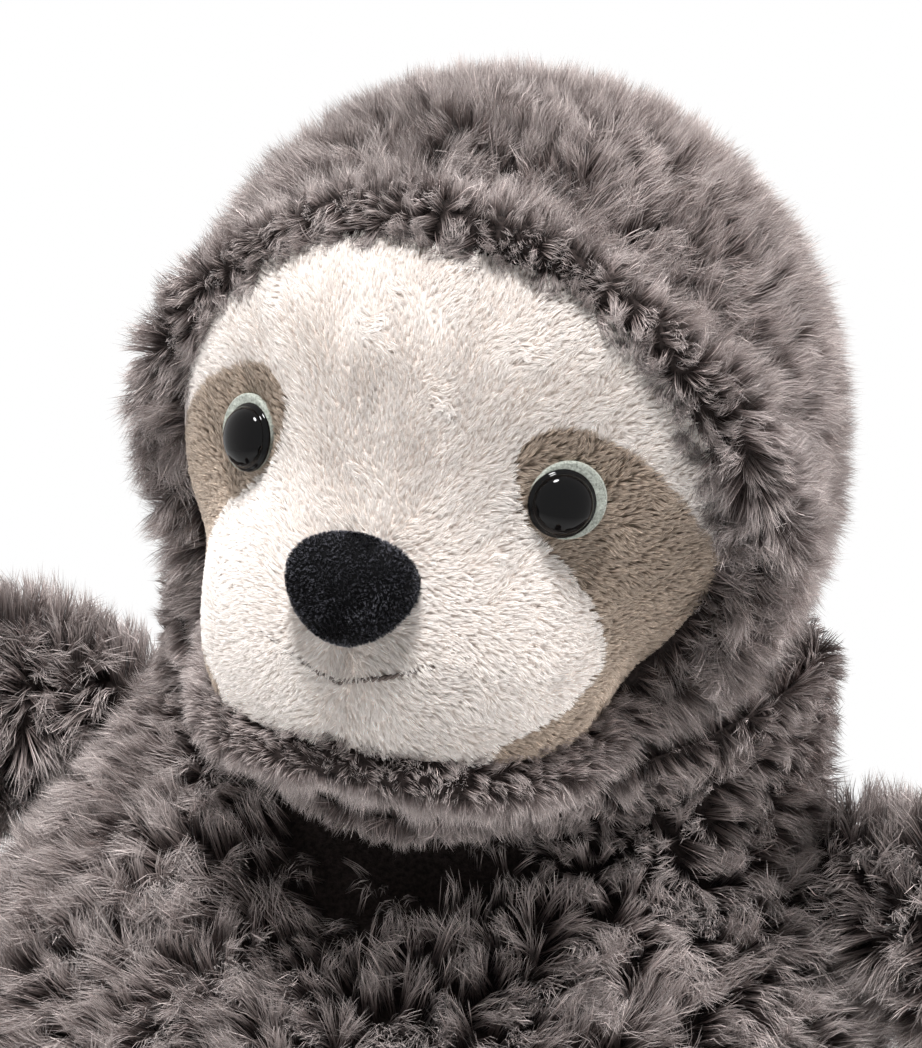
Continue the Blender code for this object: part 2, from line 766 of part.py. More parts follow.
def keep_clear(cover, pivot, root_radius, axis, limit):
    """Cuts away what would meet the body while the limb is raised, but for the ball in its socket."""
    root = ball(f"{cover.name}_root", pivot, root_radius + turning_gap - seam_gap)
    outline = np.array(body_rings(-turning_gap, 28, 15))
    for share in (0, 1):
        raised = rotated(outline, pivot, axis, -limit * share)
        combine(cover, combine(as_cutter(lofted(f"{cover.name}_clearance", raised)), root))


def make_limb(limb, knots, root_radius, axis, limit, palm, ground):
    """A cover, its stuffing and three claws that curl towards the palm."""
    pivot = np.array(knots[0][:3])
    rings, end, way, reach = limb_rings(knots, root_radius, 0, 15, 11)
    cover = lofted(f"{limb}_cover_left", rings, pivot=pivot)
    lining = lofted(f"{limb}_lining_left", limb_rings(knots, root_radius, limb_pile, 10, 8)[0])
    inside = limb_rings(knots, root_radius, limb_pile + filling_gap, 10, 8)[0]
    stuffing = lofted(f"{limb}_stuffing_left", inside, filling_colour, pivot=pivot)
    root_way = unit(np.array(knots[1][:3]) - pivot)
    hole = rod(f"{limb}_root_hole_left", pivot, -root_way, root_radius * root_hole_share, 0,
               root_radius + overrun, 12)
    for cutter in (ground, lining, hole):
        combine(cover, as_cutter(cutter))
    keep_clear(cover, pivot, root_radius, unit(axis), limit)
    edge = as_cutter(lofted(f"{limb}_edge_left", limb_rings(knots, root_radius, -seam_gap, 15, 11)[0]))
    for body in (cover, stuffing, *make_claws(limb, pivot, end, way, palm, reach, edge)):
        on_the_right(body)


def make_claws(limb, pivot, end, way, palm, reach, edge):
    across = unit(np.cross(way, palm))
    palmwards = np.cross(across, way)
    total, bend = claw_length + claw_sink, math.radians(claw_curl)
    claws = []
    for i, place in enumerate((-1, 0, 1)):
        lean = math.radians(claw_spread) * place
        ahead = way * math.cos(lean) + across * math.sin(lean)
        start = end + across * claw_pitch * place
        start += way * (reach * (1 - claw_lag_share * abs(place)) - claw_sink)
        path, radii = [], []
        for far in np.linspace(0, 1, 6):
            curl = bend * far
            path.append(start + (ahead * math.sin(curl) + palmwards * (1 - math.cos(curl))) * total / bend)
            radii.append(claw_radius + (claw_tip_radius - claw_radius) * far ** claw_taper_share)
        claw = lofted(f"{limb}_claw_left_{i + 1}", tube_rings(path, radii, 8), cream_colour, 0.8, pivot=pivot)
        claws.append(combine(claw, edge))
    return claws


def make_ground():
    """What lies below the floor, which flattens the legs where they rest."""
    wide = body_half_width + arm_reach + arm_radius
    return as_cutter(rod("ground", (0, 0, 0), -up_axis, wide * 2, 0, leg_radius, 8))


def main():
    for old in list(bpy.data.objects):
        bpy.data.objects.remove(old, do_unlink=True)
    make_body()
    make_head()
    ground = make_ground()
    front = np.array((0.0, -1.0, 0.0))
    make_limb("arm", arm_knots(), arm_root_radius, front, arm_raise, -up_axis, ground)
    hip_axis = np.array((-leg_forward, -leg_reach, 0.0))
    make_limb("leg", leg_knots(), leg_root_radius, hip_axis, leg_raise, front, ground)


main()
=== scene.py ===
"""The plush sloth dressed: long pile, short-pile face, safety eyes, flocked nose and cloth claws.

Lengths are in metres in the toy's own frame: it sits on Z = 0, faces -Y, and its left is +X.
"""
import math

import bpy
import numpy as np
from mathutils import Matrix, Vector, kdtree


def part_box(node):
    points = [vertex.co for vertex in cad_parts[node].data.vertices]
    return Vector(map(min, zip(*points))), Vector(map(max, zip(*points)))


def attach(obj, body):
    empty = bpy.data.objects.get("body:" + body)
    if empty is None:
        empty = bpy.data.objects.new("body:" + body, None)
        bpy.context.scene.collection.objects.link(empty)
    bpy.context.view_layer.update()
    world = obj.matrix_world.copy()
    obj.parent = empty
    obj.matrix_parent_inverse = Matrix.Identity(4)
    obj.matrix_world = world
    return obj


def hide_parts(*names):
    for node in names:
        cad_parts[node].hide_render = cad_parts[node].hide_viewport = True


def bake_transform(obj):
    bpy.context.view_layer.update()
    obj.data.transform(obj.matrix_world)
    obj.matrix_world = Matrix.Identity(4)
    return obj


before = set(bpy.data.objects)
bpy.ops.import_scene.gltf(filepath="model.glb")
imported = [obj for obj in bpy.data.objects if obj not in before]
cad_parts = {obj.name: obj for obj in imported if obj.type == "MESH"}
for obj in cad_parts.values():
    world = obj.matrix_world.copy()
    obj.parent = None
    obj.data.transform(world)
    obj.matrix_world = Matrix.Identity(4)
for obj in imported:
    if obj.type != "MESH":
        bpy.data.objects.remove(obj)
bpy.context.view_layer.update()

# Fewer and wider strands while trying things
thinning = 1

up_axis = np.array((0.0, 0.0, 1.0))
neck = np.array((0.0, -0.010, 0.195))

# The face, as azimuth and elevation in degrees seen from the neck's turning point
face_outline = (
    (0, 44), (13, 43.5), (26, 41), (40, 33), (51.5, 22), (59, 9), (64, -5), (62, -19), (53, -29),
    (39, -31), (24, -28.5), (10, -26), (0, -25.5),
)
face_middle = np.array((0.0, 8.0))
patch_outline = (
    (27, 21.4), (20.8, 18.0), (20.4, 12.5), (22.5, 7.0), (27.0, 2.2), (31.5, -1.6), (36.0, -7.0),
    (39.5, -14.0), (39.0, -19.5), (31.0, -23.5), (22.0, -26.5), (26.0, -33.0), (45.0, -42.0),
    (68.0, -34.0), (76.0, -12.0), (66.0, -2.5), (58.5, 4.0), (49.5, 11.8), (44.5, 15.8), (38.5, 19.0),
    (33.0, 21.0),
)
# The hood's edge is a roll; its thickness changes with the turn round the face, in degrees
roll_radius = 0.0145
roll_shares = (
    (-180, 0.95), (-162, 1.0), (-142, 0.74), (-115, 0.48), (-90, 0.38), (-65, 0.48), (-38, 0.74), (-18, 1.0),
    (0, 0.95), (12, 0.68), (28, 0.46), (50, 0.42), (90, 0.5), (130, 0.42), (152, 0.46), (168, 0.68), (180, 0.95),
)
eye_azimuth, eye_elevation, eye_splay, eye_tilt = 30.0, 10.5, 32.0, 3.0
eye_radius, ring_radius = 0.0054, 0.0061

# Height, half width, half depth and setback of the body's sections, as shares
body_height, body_half_width, body_half_depth, body_setback = 0.180, 0.091, 0.078, 0.020
body_sections = np.array((
    (0.000, 0.66, 0.64, 0.80), (0.045, 0.84, 0.82, 0.85), (0.140, 0.96, 0.96, 0.95), (0.280, 1.00, 1.00, 1.00),
    (0.420, 0.96, 0.965, 0.90), (0.530, 0.90, 0.885, 0.70), (0.625, 0.835, 0.80, 0.45), (0.700, 0.76, 0.72, 0.20),
    (0.770, 0.69, 0.66, 0.00), (0.840, 0.665, 0.63, -0.15), (0.910, 0.65, 0.61, -0.25), (0.965, 0.62, 0.58, -0.30),
    (1.000, 0.52, 0.48, -0.30),
))

# Each limb: its root, its reach along X, Y and Z, its thickness, and its path in shares of these
shoulder = np.array((0.063115, 0.003, 0.1365))
arm_size = (0.065, -0.058, -0.1115, 0.0225)
arm_path = (
    (0.00, 0.00, 0.00, 0.689), (0.14, 0.00, 0.00, 0.78), (0.34, 0.02, 0.02, 0.96), (0.64, 0.06, 0.12, 0.97),
    (0.90, 0.15, 0.30, 0.97), (1.01, 0.29, 0.50, 0.93), (1.01, 0.47, 0.73, 0.91), (0.98, 0.71, 0.90, 0.90),
    (0.94, 1.00, 1.00, 0.86),
)
hip = np.array((0.057438, -0.07626, 0.031))
leg_size = (0.036, -0.066, 0.010, 0.0225)
leg_path = (
    (0.00, 0.00, 0.00, 0.622), (0.13, 0.13, -0.15, 0.68), (0.31, 0.31, -0.50, 0.92), (0.56, 0.56, -0.90, 1.00),
    (0.79, 0.79, -0.80, 0.98), (0.93, 0.92, -0.10, 0.93), (1.00, 1.00, 1.00, 0.84),
)
# How far the round end of a hand or foot reaches, as a share of its thickness
tip_share = 0.85


# Materials

def linear(hex_colour):
    """An sRGB hex colour as linear RGBA."""
    parts = [int(hex_colour[i:i + 2], 16) / 255 for i in (1, 3, 5)]
    return (*[p / 12.92 if p <= 0.04045 else ((p + 0.055) / 1.055) ** 2.4 for p in parts], 1.0)


def add_node(tree, kind, inputs=(), **settings):
    """Adds a node. Each input is a name or number with a value or another node's output."""
    node = tree.nodes.new(kind)
    for name, value in settings.items():
        setattr(node, name, value)
    for name, value in dict(inputs).items():
        if isinstance(value, bpy.types.NodeSocket):
            tree.links.new(value, node.inputs[name])
        else:
            node.inputs[name].default_value = value
    return node


def new_material(name, **shader_inputs):
    """An empty Principled material and its tree; names have underscores for spaces."""
    material = bpy.data.materials.new(name)
    material.use_nodes = True
    tree = material.node_tree
    shader = tree.nodes["Principled BSDF"]
    for key, value in shader_inputs.items():
        shader.inputs[key.replace("_", " ")].default_value = value
    return material, tree, shader


def set_ramp(node, stops):
    """Colours along a colour ramp."""
    ramp = node.color_ramp
    while len(ramp.elements) < len(stops):
        ramp.elements.new(0.5)
    for element, (place, colour) in zip(ramp.elements, stops):
        element.position = place
        element.color = linear(colour)


def pile_material(name, stops, spread, **shader_inputs):
    """Fibres coloured from root to tip; tufts differ by the spread, and a few fibres are painted brighter as glints.
    """
    material, tree, shader = new_material(name, **shader_inputs)
    place = add_node(tree, "ShaderNodeUVMap", uv_map="OFBake")
    parts = add_node(tree, "ShaderNodeSeparateXYZ", {0: place.outputs[0]})
    ramp = add_node(tree, "ShaderNodeValToRGB", {0: parts.outputs[1]})
    set_ramp(ramp, stops)
    tone = add_node(tree, "ShaderNodeMapRange", {0: parts.outputs[0], 3: 1 - spread, 4: 1 + spread})
    # A few fibres are painted brighter, up to 1.7 times, as glints
    painted_glint = add_node(tree, "ShaderNodeMapRange", {0: parts.outputs[0], 1: 0.94, 2: 0.96, 3: 1.0, 4: 1.7})
    scale = add_node(tree, "ShaderNodeMath", {0: tone.outputs[0], 1: painted_glint.outputs[0]}, operation="MULTIPLY")
    colour = add_node(tree, "ShaderNodeVectorMath", {0: ramp.outputs[0], "Scale": scale.outputs[0]},
                      operation="SCALE")
    tree.links.new(colour.outputs[0], shader.inputs["Base Color"])
    return material


def cloth_material(name, dark, light, yarn_mm, bump, **shader_inputs):
    """Cloth with a fine uneven grain, yarn_mm apart."""
    material, tree, shader = new_material(name, **shader_inputs)
    place = add_node(tree, "ShaderNodeTexCoord")
    grain = add_node(tree, "ShaderNodeTexNoise", {
        "Vector": place.outputs["Object"], "Scale": 1000 / yarn_mm, "Detail": 4.0, "Roughness": 0.65})
    ramp = add_node(tree, "ShaderNodeValToRGB", {0: grain.outputs[0]})
    set_ramp(ramp, ((0.35, dark), (0.65, light)))
    raised = add_node(tree, "ShaderNodeBump", {
        "Height": grain.outputs[0], "Strength": bump, "Distance": yarn_mm / 1000})
    tree.links.new(ramp.outputs[0], shader.inputs["Base Color"])
    tree.links.new(raised.outputs[0], shader.inputs["Normal"])
    return material


# Polyester plush, drawn and cut: painted shade makes it dark between the tufts, and a painted sheen makes it silvery
# where the cut tips catch the light
long_pile = pile_material(
    "polyester_plush_long_pile",
    ((0.0, "#3c3331"), (0.35, "#6e625f"), (0.72, "#9e9390"), (1.0, "#cac0bd")), 0.26,
    Roughness=0.5, IOR=1.55, Specular_IOR_Level=0.15, Sheen_Weight=0.25, Sheen_Roughness=0.4)
# Knitted polyester backing, seen only in the deepest partings, painted as dark as the shade there
backing = cloth_material("knitted_polyester_backing", "#1f1a19", "#3b3331", 0.9, 0.5, Roughness=0.95, IOR=1.5,
                         Specular_IOR_Level=0.15)
# Short brushed pile: matt, with painted shade making it a little darker and warmer where it is deep
cream_pile = pile_material(
    "polyester_short_pile_cream",
    ((0.0, "#e9ded7"), (0.5, "#f1eae4"), (1.0, "#f8f2ee")), 0.03,
    Roughness=0.75, IOR=1.5, Sheen_Weight=0.15, Sheen_Roughness=0.5)
cream_cloth = cloth_material("short_pile_backing_cream", "#e3d6cd", "#efe6df", 0.7, 0.6, Roughness=0.95, IOR=1.5)
# Brown short pile, with painted shade making it darker where it is deep, towards the roots
brown_pile = pile_material(
    "polyester_short_pile_brown",
    ((0.0, "#7b6a5d"), (0.5, "#a99685"), (1.0, "#ccbcac")), 0.2,
    Roughness=0.7, IOR=1.5, Sheen_Weight=0.15, Sheen_Roughness=0.5)
brown_cloth = cloth_material("short_pile_backing_brown", "#6a5e50", "#8a7c6c", 0.7, 0.6, Roughness=0.95, IOR=1.5)
# Nylon flock on a moulded nose: light-drinking black, with painted glints, as its fibre ends are painted grey and a
# few of them brighter still
flock = pile_material(
    "nylon_flock_black",
    ((0.0, "#020203"), (0.55, "#0a0a0d"), (1.0, "#76767f")), 0.8,
    Roughness=0.4, IOR=1.53, Specular_IOR_Level=0.12, Sheen_Weight=0.05, Sheen_Roughness=0.3)
flock_ground = cloth_material("flocked_moulding_black", "#040405", "#0c0c0e", 0.3, 0.6, Roughness=0.9, IOR=1.5,
                              Specular_IOR_Level=0.1)
# Pressed wool felt under the eyes: matt, greenish white, faintly fibrous
felt = cloth_material("pressed_wool_felt", "#7f837b", "#b3b7ae", 0.45, 0.8, Roughness=0.9, IOR=1.5)
# Six-strand embroidery cotton, dark grey
thread = cloth_material("embroidery_cotton_grey", "#4a403b", "#7a6d66", 0.3, 0.5, Roughness=0.7, IOR=1.5)
# Woven cotton calico of the claws
calico = cloth_material("cotton_calico_cream", "#bfae98", "#dccbb5", 0.5, 0.5, Roughness=0.85, IOR=1.5)
# Carded polyester filling
filling = cloth_material("carded_polyester_filling", "#d9d8d4", "#f1f0ec", 1.5, 0.8, Roughness=0.95, IOR=1.5)


def moulded_material(name, low, high, **shader_inputs):
    """Plain moulded plastic, faintly clouded."""
    material, tree, shader = new_material(name, **shader_inputs)
    place = add_node(tree, "ShaderNodeTexCoord")
    cloud = add_node(tree, "ShaderNodeTexNoise", {"Vector": place.outputs["Object"], "Scale": 400.0})
    ramp = add_node(tree, "ShaderNodeValToRGB", {0: cloud.outputs[0]})
    set_ramp(ramp, ((0.3, low), (0.7, high)))
    tree.links.new(ramp.outputs[0], shader.inputs["Base Color"])
    return material


def eye_material():
    """Moulded acrylic, polished: black, with a hint of brown painted where the view grazes its side, standing in for
    light entering there.
    """
    material, tree, shader = new_material(
        "moulded_acrylic_black", Roughness=0.03, IOR=1.49, Specular_IOR_Level=0.16)
    rim = add_node(tree, "ShaderNodeLayerWeight", {"Blend": 0.35})
    ramp = add_node(tree, "ShaderNodeValToRGB", {0: rim.outputs["Facing"]})
    set_ramp(ramp, ((0.0, "#040405"), (1.0, "#151211")))
    tree.links.new(ramp.outputs[0], shader.inputs["Base Color"])
    return material


acrylic = eye_material()
# Natural polyethylene washers, translucent and matt
clear_plastic = moulded_material("natural_polyethylene", "#b9babb", "#cfd0d1", Roughness=0.4, IOR=1.51)


# Mathematics of the surfaces

def unit(vectors):
    """Vectors of length 1."""
    vectors = np.asarray(vectors, float)
    return vectors / np.linalg.norm(vectors, axis=-1, keepdims=True).clip(1e-12)


def across_and_above(axis, towards=up_axis):
    """Two directions across an axis; the second one lies nearest to the given direction."""
    axis = unit(axis)
    above = unit(towards - axis * np.dot(towards, axis))
    return np.cross(above, axis), above


def along(knots, values, where):
    """A smooth curve through rows of values at rising knots."""
    knots, values, where = np.asarray(knots, float), np.asarray(values, float), np.asarray(where, float)
    slopes = np.gradient(values, knots, axis=0)
    i = np.clip(np.searchsorted(knots, where, side="right") - 1, 0, len(knots) - 2)
    width = (knots[i + 1] - knots[i])[:, None]
    t = ((where - knots[i]) / (knots[i + 1] - knots[i]))[:, None]
    return ((1 + 2 * t) * (1 - t) ** 2 * values[i] + t * (1 - t) ** 2 * width * slopes[i]
            + t * t * (3 - 2 * t) * values[i + 1] + t * t * (t - 1) * width * slopes[i + 1])


def closed_curve(corners, count):
    """A smooth loop of this many points through the corners."""
    corners = np.asarray(corners, float)
    looped = np.concatenate((corners[-2:], corners, corners[:3]))
    return along(np.arange(-2, len(corners) + 3), looped, np.linspace(0, len(corners), count, endpoint=False))


def smooth_step(x):
    x = np.clip(x, 0.0, 1.0)
    return x * x * (3 - 2 * x)


def wander(points, size, seed, count=3):
    """A smooth random field, about -1 to 1, whose bumps are this far apart."""
    rng = np.random.default_rng(seed)
    waves = unit(rng.normal(size=(9, 3))) * 2 * math.pi / size * rng.uniform(0.6, 1.4, (9, 1))
    phases = rng.uniform(0, 2 * math.pi, (9, count))
    return np.sin((points @ waves.T)[:, :, None] + phases).sum(1) / 2.6


def direction(azimuth, elevation):
    """The way from the neck, where azimuth 0 is the front and rises to the toy's left."""
    azimuth, elevation = np.radians(azimuth), np.radians(elevation)
    return np.stack((np.sin(azimuth) * np.cos(elevation), -np.cos(azimuth) * np.cos(elevation),
                     np.sin(elevation) * np.ones_like(azimuth)), -1)


def angles_of(ways):
    """Azimuth and elevation in degrees."""
    return np.stack((np.degrees(np.arctan2(ways[..., 0], -ways[..., 1])),
                     np.degrees(np.arcsin(np.clip(ways[..., 2], -1, 1)))), -1)


def sphere_reach(ways, forward, rise, radius):
    """How far a sphere's far side is from the neck each way."""
    depth = ways @ np.array((0.0, -forward, rise))
    room = depth ** 2 + radius ** 2 - forward ** 2 - rise ** 2
    return np.where(room > 0, depth + np.sqrt(np.maximum(room, 0)), 0).clip(0)


def merged(reaches, softness=20):
    """The largest reach each way, rounded where two are alike; a higher softness number rounds less."""
    largest = np.max(reaches, axis=0)
    return largest * np.sum([(reach / largest) ** softness for reach in reaches], axis=0) ** (1 / softness)


def dent(ways, azimuth, elevation, width):
    """A round dip, 1 in its middle, this many degrees wide."""
    near = np.degrees(np.arccos(np.clip(ways @ direction(azimuth, elevation), -1, 1)))
    return np.exp(-(near / width) ** 2)


def face_reach(ways):
    """How far the tips of the face's pile are from the neck's turning point."""
    reach = merged((sphere_reach(ways, 0.010, 0.012, 0.049), sphere_reach(ways, 0.034, -0.018, 0.033)), 13)
    for side in (1, -1):
        reach = reach - 0.0048 * dent(ways, side * eye_azimuth, eye_elevation, 17.0)
    return reach - 0.0015 * dent(ways, 0, eye_elevation + 8.0, 14.0)


def face_curve(count):
    """The face's outline on both sides, as steps from the face's middle."""
    right = [(-azimuth, elevation) for azimuth, elevation in face_outline]
    return closed_curve(right + list(reversed(face_outline[1:-1])), count) - face_middle


edge_away = face_curve(288)
edge_turns = np.arctan2(edge_away[:, 1], edge_away[:, 0])
edge_order = np.argsort(edge_turns)


def round_face(ways):
    """Degrees from the face's middle, degrees from there to its outline, and the turn round it."""
    away = angles_of(ways) - face_middle
    turn = np.arctan2(away[..., 1], away[..., 0])
    edge = np.interp(turn, edge_turns[edge_order], np.linalg.norm(edge_away, axis=1)[edge_order], period=2 * math.pi)
    return np.linalg.norm(away, axis=-1), edge, turn


def hood_reach(ways):
    return merged((sphere_reach(ways, 0.0, 0.0125, 0.055), sphere_reach(ways, -0.002, -0.001, 0.0555),
                   sphere_reach(ways, 0.032, -0.015, 0.0325)))


def roll_reach(ways, thick_share=1.0):
    """The hood's edge, rolled round the face; a smaller share gives its cloth under the pile."""
    away, edge, turn = round_face(ways)
    radius = roll_radius * np.interp(np.degrees(turn), *np.transpose(roll_shares))
    depth = face_reach(ways) - 0.0015
    off = np.radians(away - edge) - 0.75 * radius / depth
    room = (radius * thick_share) ** 2 - (depth * np.sin(off)) ** 2
    near = (room > 0) & (np.abs(off) < math.pi / 4)
    return np.where(near, depth * np.cos(off) + np.sqrt(np.maximum(room, 0)), 0)


def head_reach(ways):
    """Where the tips of the hood's pile are."""
    return merged((hood_reach(ways), roll_reach(ways)))


# How far the head's cloth lies under the tips of its pile
head_pile = 0.0080


def head_cloth_reach(ways):
    """The hood's cloth under its pile, which dips under the face's cloth inside the opening."""
    away, edge, _ = round_face(ways)
    face = face_reach(ways)
    lip = np.maximum(face - 0.0030 - 0.0008 * np.maximum(away - edge, 0), 0.0010)
    cloth = merged((hood_reach(ways) - head_pile, roll_reach(ways, 0.5) + 1e-6, lip), 40)
    inside = smooth_step((edge - away) / 4.0)
    return cloth + (np.minimum(cloth, face - 0.0050) - cloth) * inside


def is_in(points, outline):
    """Which points lie inside a closed outline."""
    x, y = points[:, 0, None], points[:, 1, None]
    x0, y0 = outline.T
    x1, y1 = np.roll(outline, -1, axis=0).T
    crossed = ((y0 > y) != (y1 > y)) & (x < (x1 - x0) * (y - y0) / np.where(y1 == y0, 1e-9, y1 - y0) + x0)
    return crossed.sum(1) % 2 == 1


# Skins: the cloth that the pile grows on

class Skin:
    """A triangulated surface with what its pile needs at each point."""

    def __init__(self, points, triangles):
        self.points = np.asarray(points, float)
        self.triangles = np.asarray(triangles, int)
        corners = self.points[self.triangles]
        flat = np.cross(corners[:, 1] - corners[:, 0], corners[:, 2] - corners[:, 0])
        normals = np.zeros_like(self.points)
        for k in range(3):
            np.add.at(normals, self.triangles[:, k], flat)
        self.normals = unit(normals)
        self.areas = np.linalg.norm(flat, axis=1) / 2
        self.cover = np.ones(len(self.points))
        self.length = np.full(len(self.points), 0.010)
        self.wild = np.ones(len(self.points))
        self.comb = np.zeros_like(self.points)


def ringed(rings, first_pole, last_pole):
    """A closed skin through rings that run anticlockwise round the way they follow."""
    rings = np.asarray(rings, float)
    count, sides, _ = rings.shape
    points = np.concatenate((rings.reshape(-1, 3), [first_pole, last_pole]))
    j = np.arange(sides)
    after = (j + 1) % sides
    triangles = [np.stack((np.full(sides, count * sides), after, j), -1)]
    for low in range(0, (count - 1) * sides, sides):
        triangles.append(np.stack((low + j, low + after, low + sides + after), -1))
        triangles.append(np.stack((low + j, low + sides + after, low + sides + j), -1))
    last = (count - 1) * sides
    triangles.append(np.stack((np.full(sides, count * sides + 1), last + j, last + after), -1))
    return Skin(points, np.concatenate(triangles))


def piece_from(skin, name, material):
    """The skin as a visible smooth piece."""
    mesh = bpy.data.meshes.new(name)
    mesh.from_pydata(skin.points.tolist(), [], skin.triangles.tolist())
    mesh.shade_smooth()
    mesh.materials.append(material)
    piece = bpy.data.objects.new(name, mesh)
    bpy.context.scene.collection.objects.link(piece)
    return piece


def scattered(skin, per_area, rng):
    """Places on a skin, this many on each square metre where its cover is 1: triangles and weights."""
    areas = skin.areas * skin.cover[skin.triangles].mean(1)
    total = areas.sum()
    count = max(int(total * per_area), 1)
    marks = (np.arange(count) + rng.random(count)) / count * total
    chosen = np.searchsorted(np.cumsum(areas), marks).clip(0, len(areas) - 1)
    u, v = rng.random((2, count))
    fold = u + v > 1
    u, v = np.where(fold, 1 - u, u), np.where(fold, 1 - v, v)
    return skin.triangles[chosen], np.stack((1 - u - v, u, v), -1)


def taken(values, places):
    """A skin's values at scattered places."""
    corners, weights = places
    if values.ndim == 1:
        return (values[corners] * weights).sum(1)
    return (values[corners] * weights[:, :, None]).sum(1)


def leaned(skin, places, seed, swirl, loose, uneven, rng):
    """Place, normal, comb direction and a lean factor at scattered places."""
    spots, normals = taken(skin.points, places), unit(taken(skin.normals, places))
    stray = wander(spots, 0.016, seed) * swirl + wander(spots, 0.006, seed + 1) * loose
    stray += rng.normal(size=spots.shape) * loose * 0.6
    comb = taken(skin.comb, places) + stray * (0.5 + 0.5 * taken(skin.wild, places))[:, None]
    comb -= normals * (comb * normals).sum(1, keepdims=True)
    lean = 1 + uneven * wander(spots, 0.009, seed + 2, 1)[:, 0]
    return spots, normals, unit(comb), lean


def pulled(normals, comb, lean, length, start_lean, end_lean, share):
    """How far a leaning strand has come from its root at this share of its length."""
    first = np.radians(start_lean) * lean
    turn = np.radians(end_lean - start_lean) * lean
    here = first + turn * share
    rise = (np.sin(here) - np.sin(first)) / turn
    run = (np.cos(first) - np.cos(here)) / turn
    return length[:, None] * (normals * rise[:, None] + comb * run[:, None])


# Where along its length a strand bends
strand_stops = np.array((0.0, 0.7, 1.0))


def grown(skin, seed, per_mm2, width, tuft, tuft_radius, lean, swirl, loose, clump, gather, tuft_gather, curl,
          uneven=0.4, roll=0.6, floor=None):
    """Strands in small tufts that gather into pointed clumps: their lines, widths, side ways and tones.

    tuft strands stand in each tuft, and lean gives their lean at root and tip in degrees. The comb strays by
    swirl over long ways and by loose over short ones. gather draws tufts to their clump's middle, and
    tuft_gather draws strands to their tuft's. curl bends each strand, uneven varies the lean from place to
    place, and roll turns the flat strands about their length.
    """
    rng = np.random.default_rng(seed)
    places = scattered(skin, per_mm2 * 1e6 / tuft / thinning, rng)
    spots, normals, comb, leaning = leaned(skin, places, seed, swirl, loose, uneven, rng)
    length = taken(skin.length, places) * rng.uniform(0.92, 1.04, len(spots))
    heads = scattered(skin, 1 / clump ** 2, rng)
    head_spots, _, head_comb, head_lean = leaned(skin, heads, seed, swirl, loose, uneven, rng)
    tree = kdtree.KDTree(len(head_spots))
    for i, spot in enumerate(head_spots):
        tree.insert(spot, i)
    tree.balance()
    own = np.array([tree.find(spot)[1] for spot in spots])
    wild = taken(skin.wild, places)
    comb = unit(comb * 0.45 + head_comb[own] * 0.55)
    leaning = (leaning * 0.5 + head_lean[own] * 0.5) * (0.4 + 0.8 * wild)
    clump_tone, clump_length = rng.normal(size=len(head_spots)), rng.normal(size=len(head_spots))
    length = length * (1 + (0.02 + 0.06 * wild) * clump_length[own]).clip(0.7, 1.2)
    towards = (head_spots[own] - spots) * (0.4 + 0.8 * wild)[:, None]
    tuft_tone = rng.normal(size=len(spots))

    which = np.repeat(np.arange(len(spots)), tuft)
    count = len(which)
    first, second = np.cross(normals, comb)[which], comb[which]
    turn = rng.uniform(0, 2 * math.pi, count)
    radius = tuft_radius * np.sqrt(rng.random(count)) * math.sqrt(thinning)
    offset = (first * np.cos(turn)[:, None] + second * np.sin(turn)[:, None]) * radius[:, None]
    strand_length = length[which] * (1 - 0.16 * rng.random(count) ** 2)
    side = unit(rng.normal(size=(count, 3))) * (strand_length * curl)[:, None]
    lines = []
    for share in strand_stops:
        line = spots[which] + offset * (1 - tuft_gather * share ** 1.3) + side * share ** 2
        line += pulled(normals[which], comb[which], leaning[which], strand_length, *lean, share)
        line += towards[which] * (gather * share ** 1.5)
        lines.append(line)
    lines = np.stack(lines, 1)
    if floor is not None:
        lines[..., 2] = np.maximum(lines[..., 2], floor)
    heading = unit(lines[:, -1] - lines[:, 0])
    flat = unit(np.cross(heading, normals[which]) + rng.normal(size=(count, 3)) * 0.25)
    upright = np.cross(flat, heading)
    rolled = rng.normal(0, roll, count)
    across = flat * np.cos(rolled)[:, None] + upright * np.sin(rolled)[:, None]
    half = width / 2 * math.sqrt(thinning) * rng.uniform(0.75, 1.25, count)
    tones = (0.5 + 0.13 * clump_tone[own][which] + 0.09 * tuft_tone[which] + 0.12 * rng.normal(size=count)
             + 0.10 * wander(spots, 0.03, seed + 5, 1)[which, 0]).clip(0.02, 0.93)
    # Four in a hundred strands get the tone that the pile materials paint as glints
    tones[rng.random(count) < 0.04] = 0.97
    return {"lines": lines, "across": across, "half": half, "tones": tones}


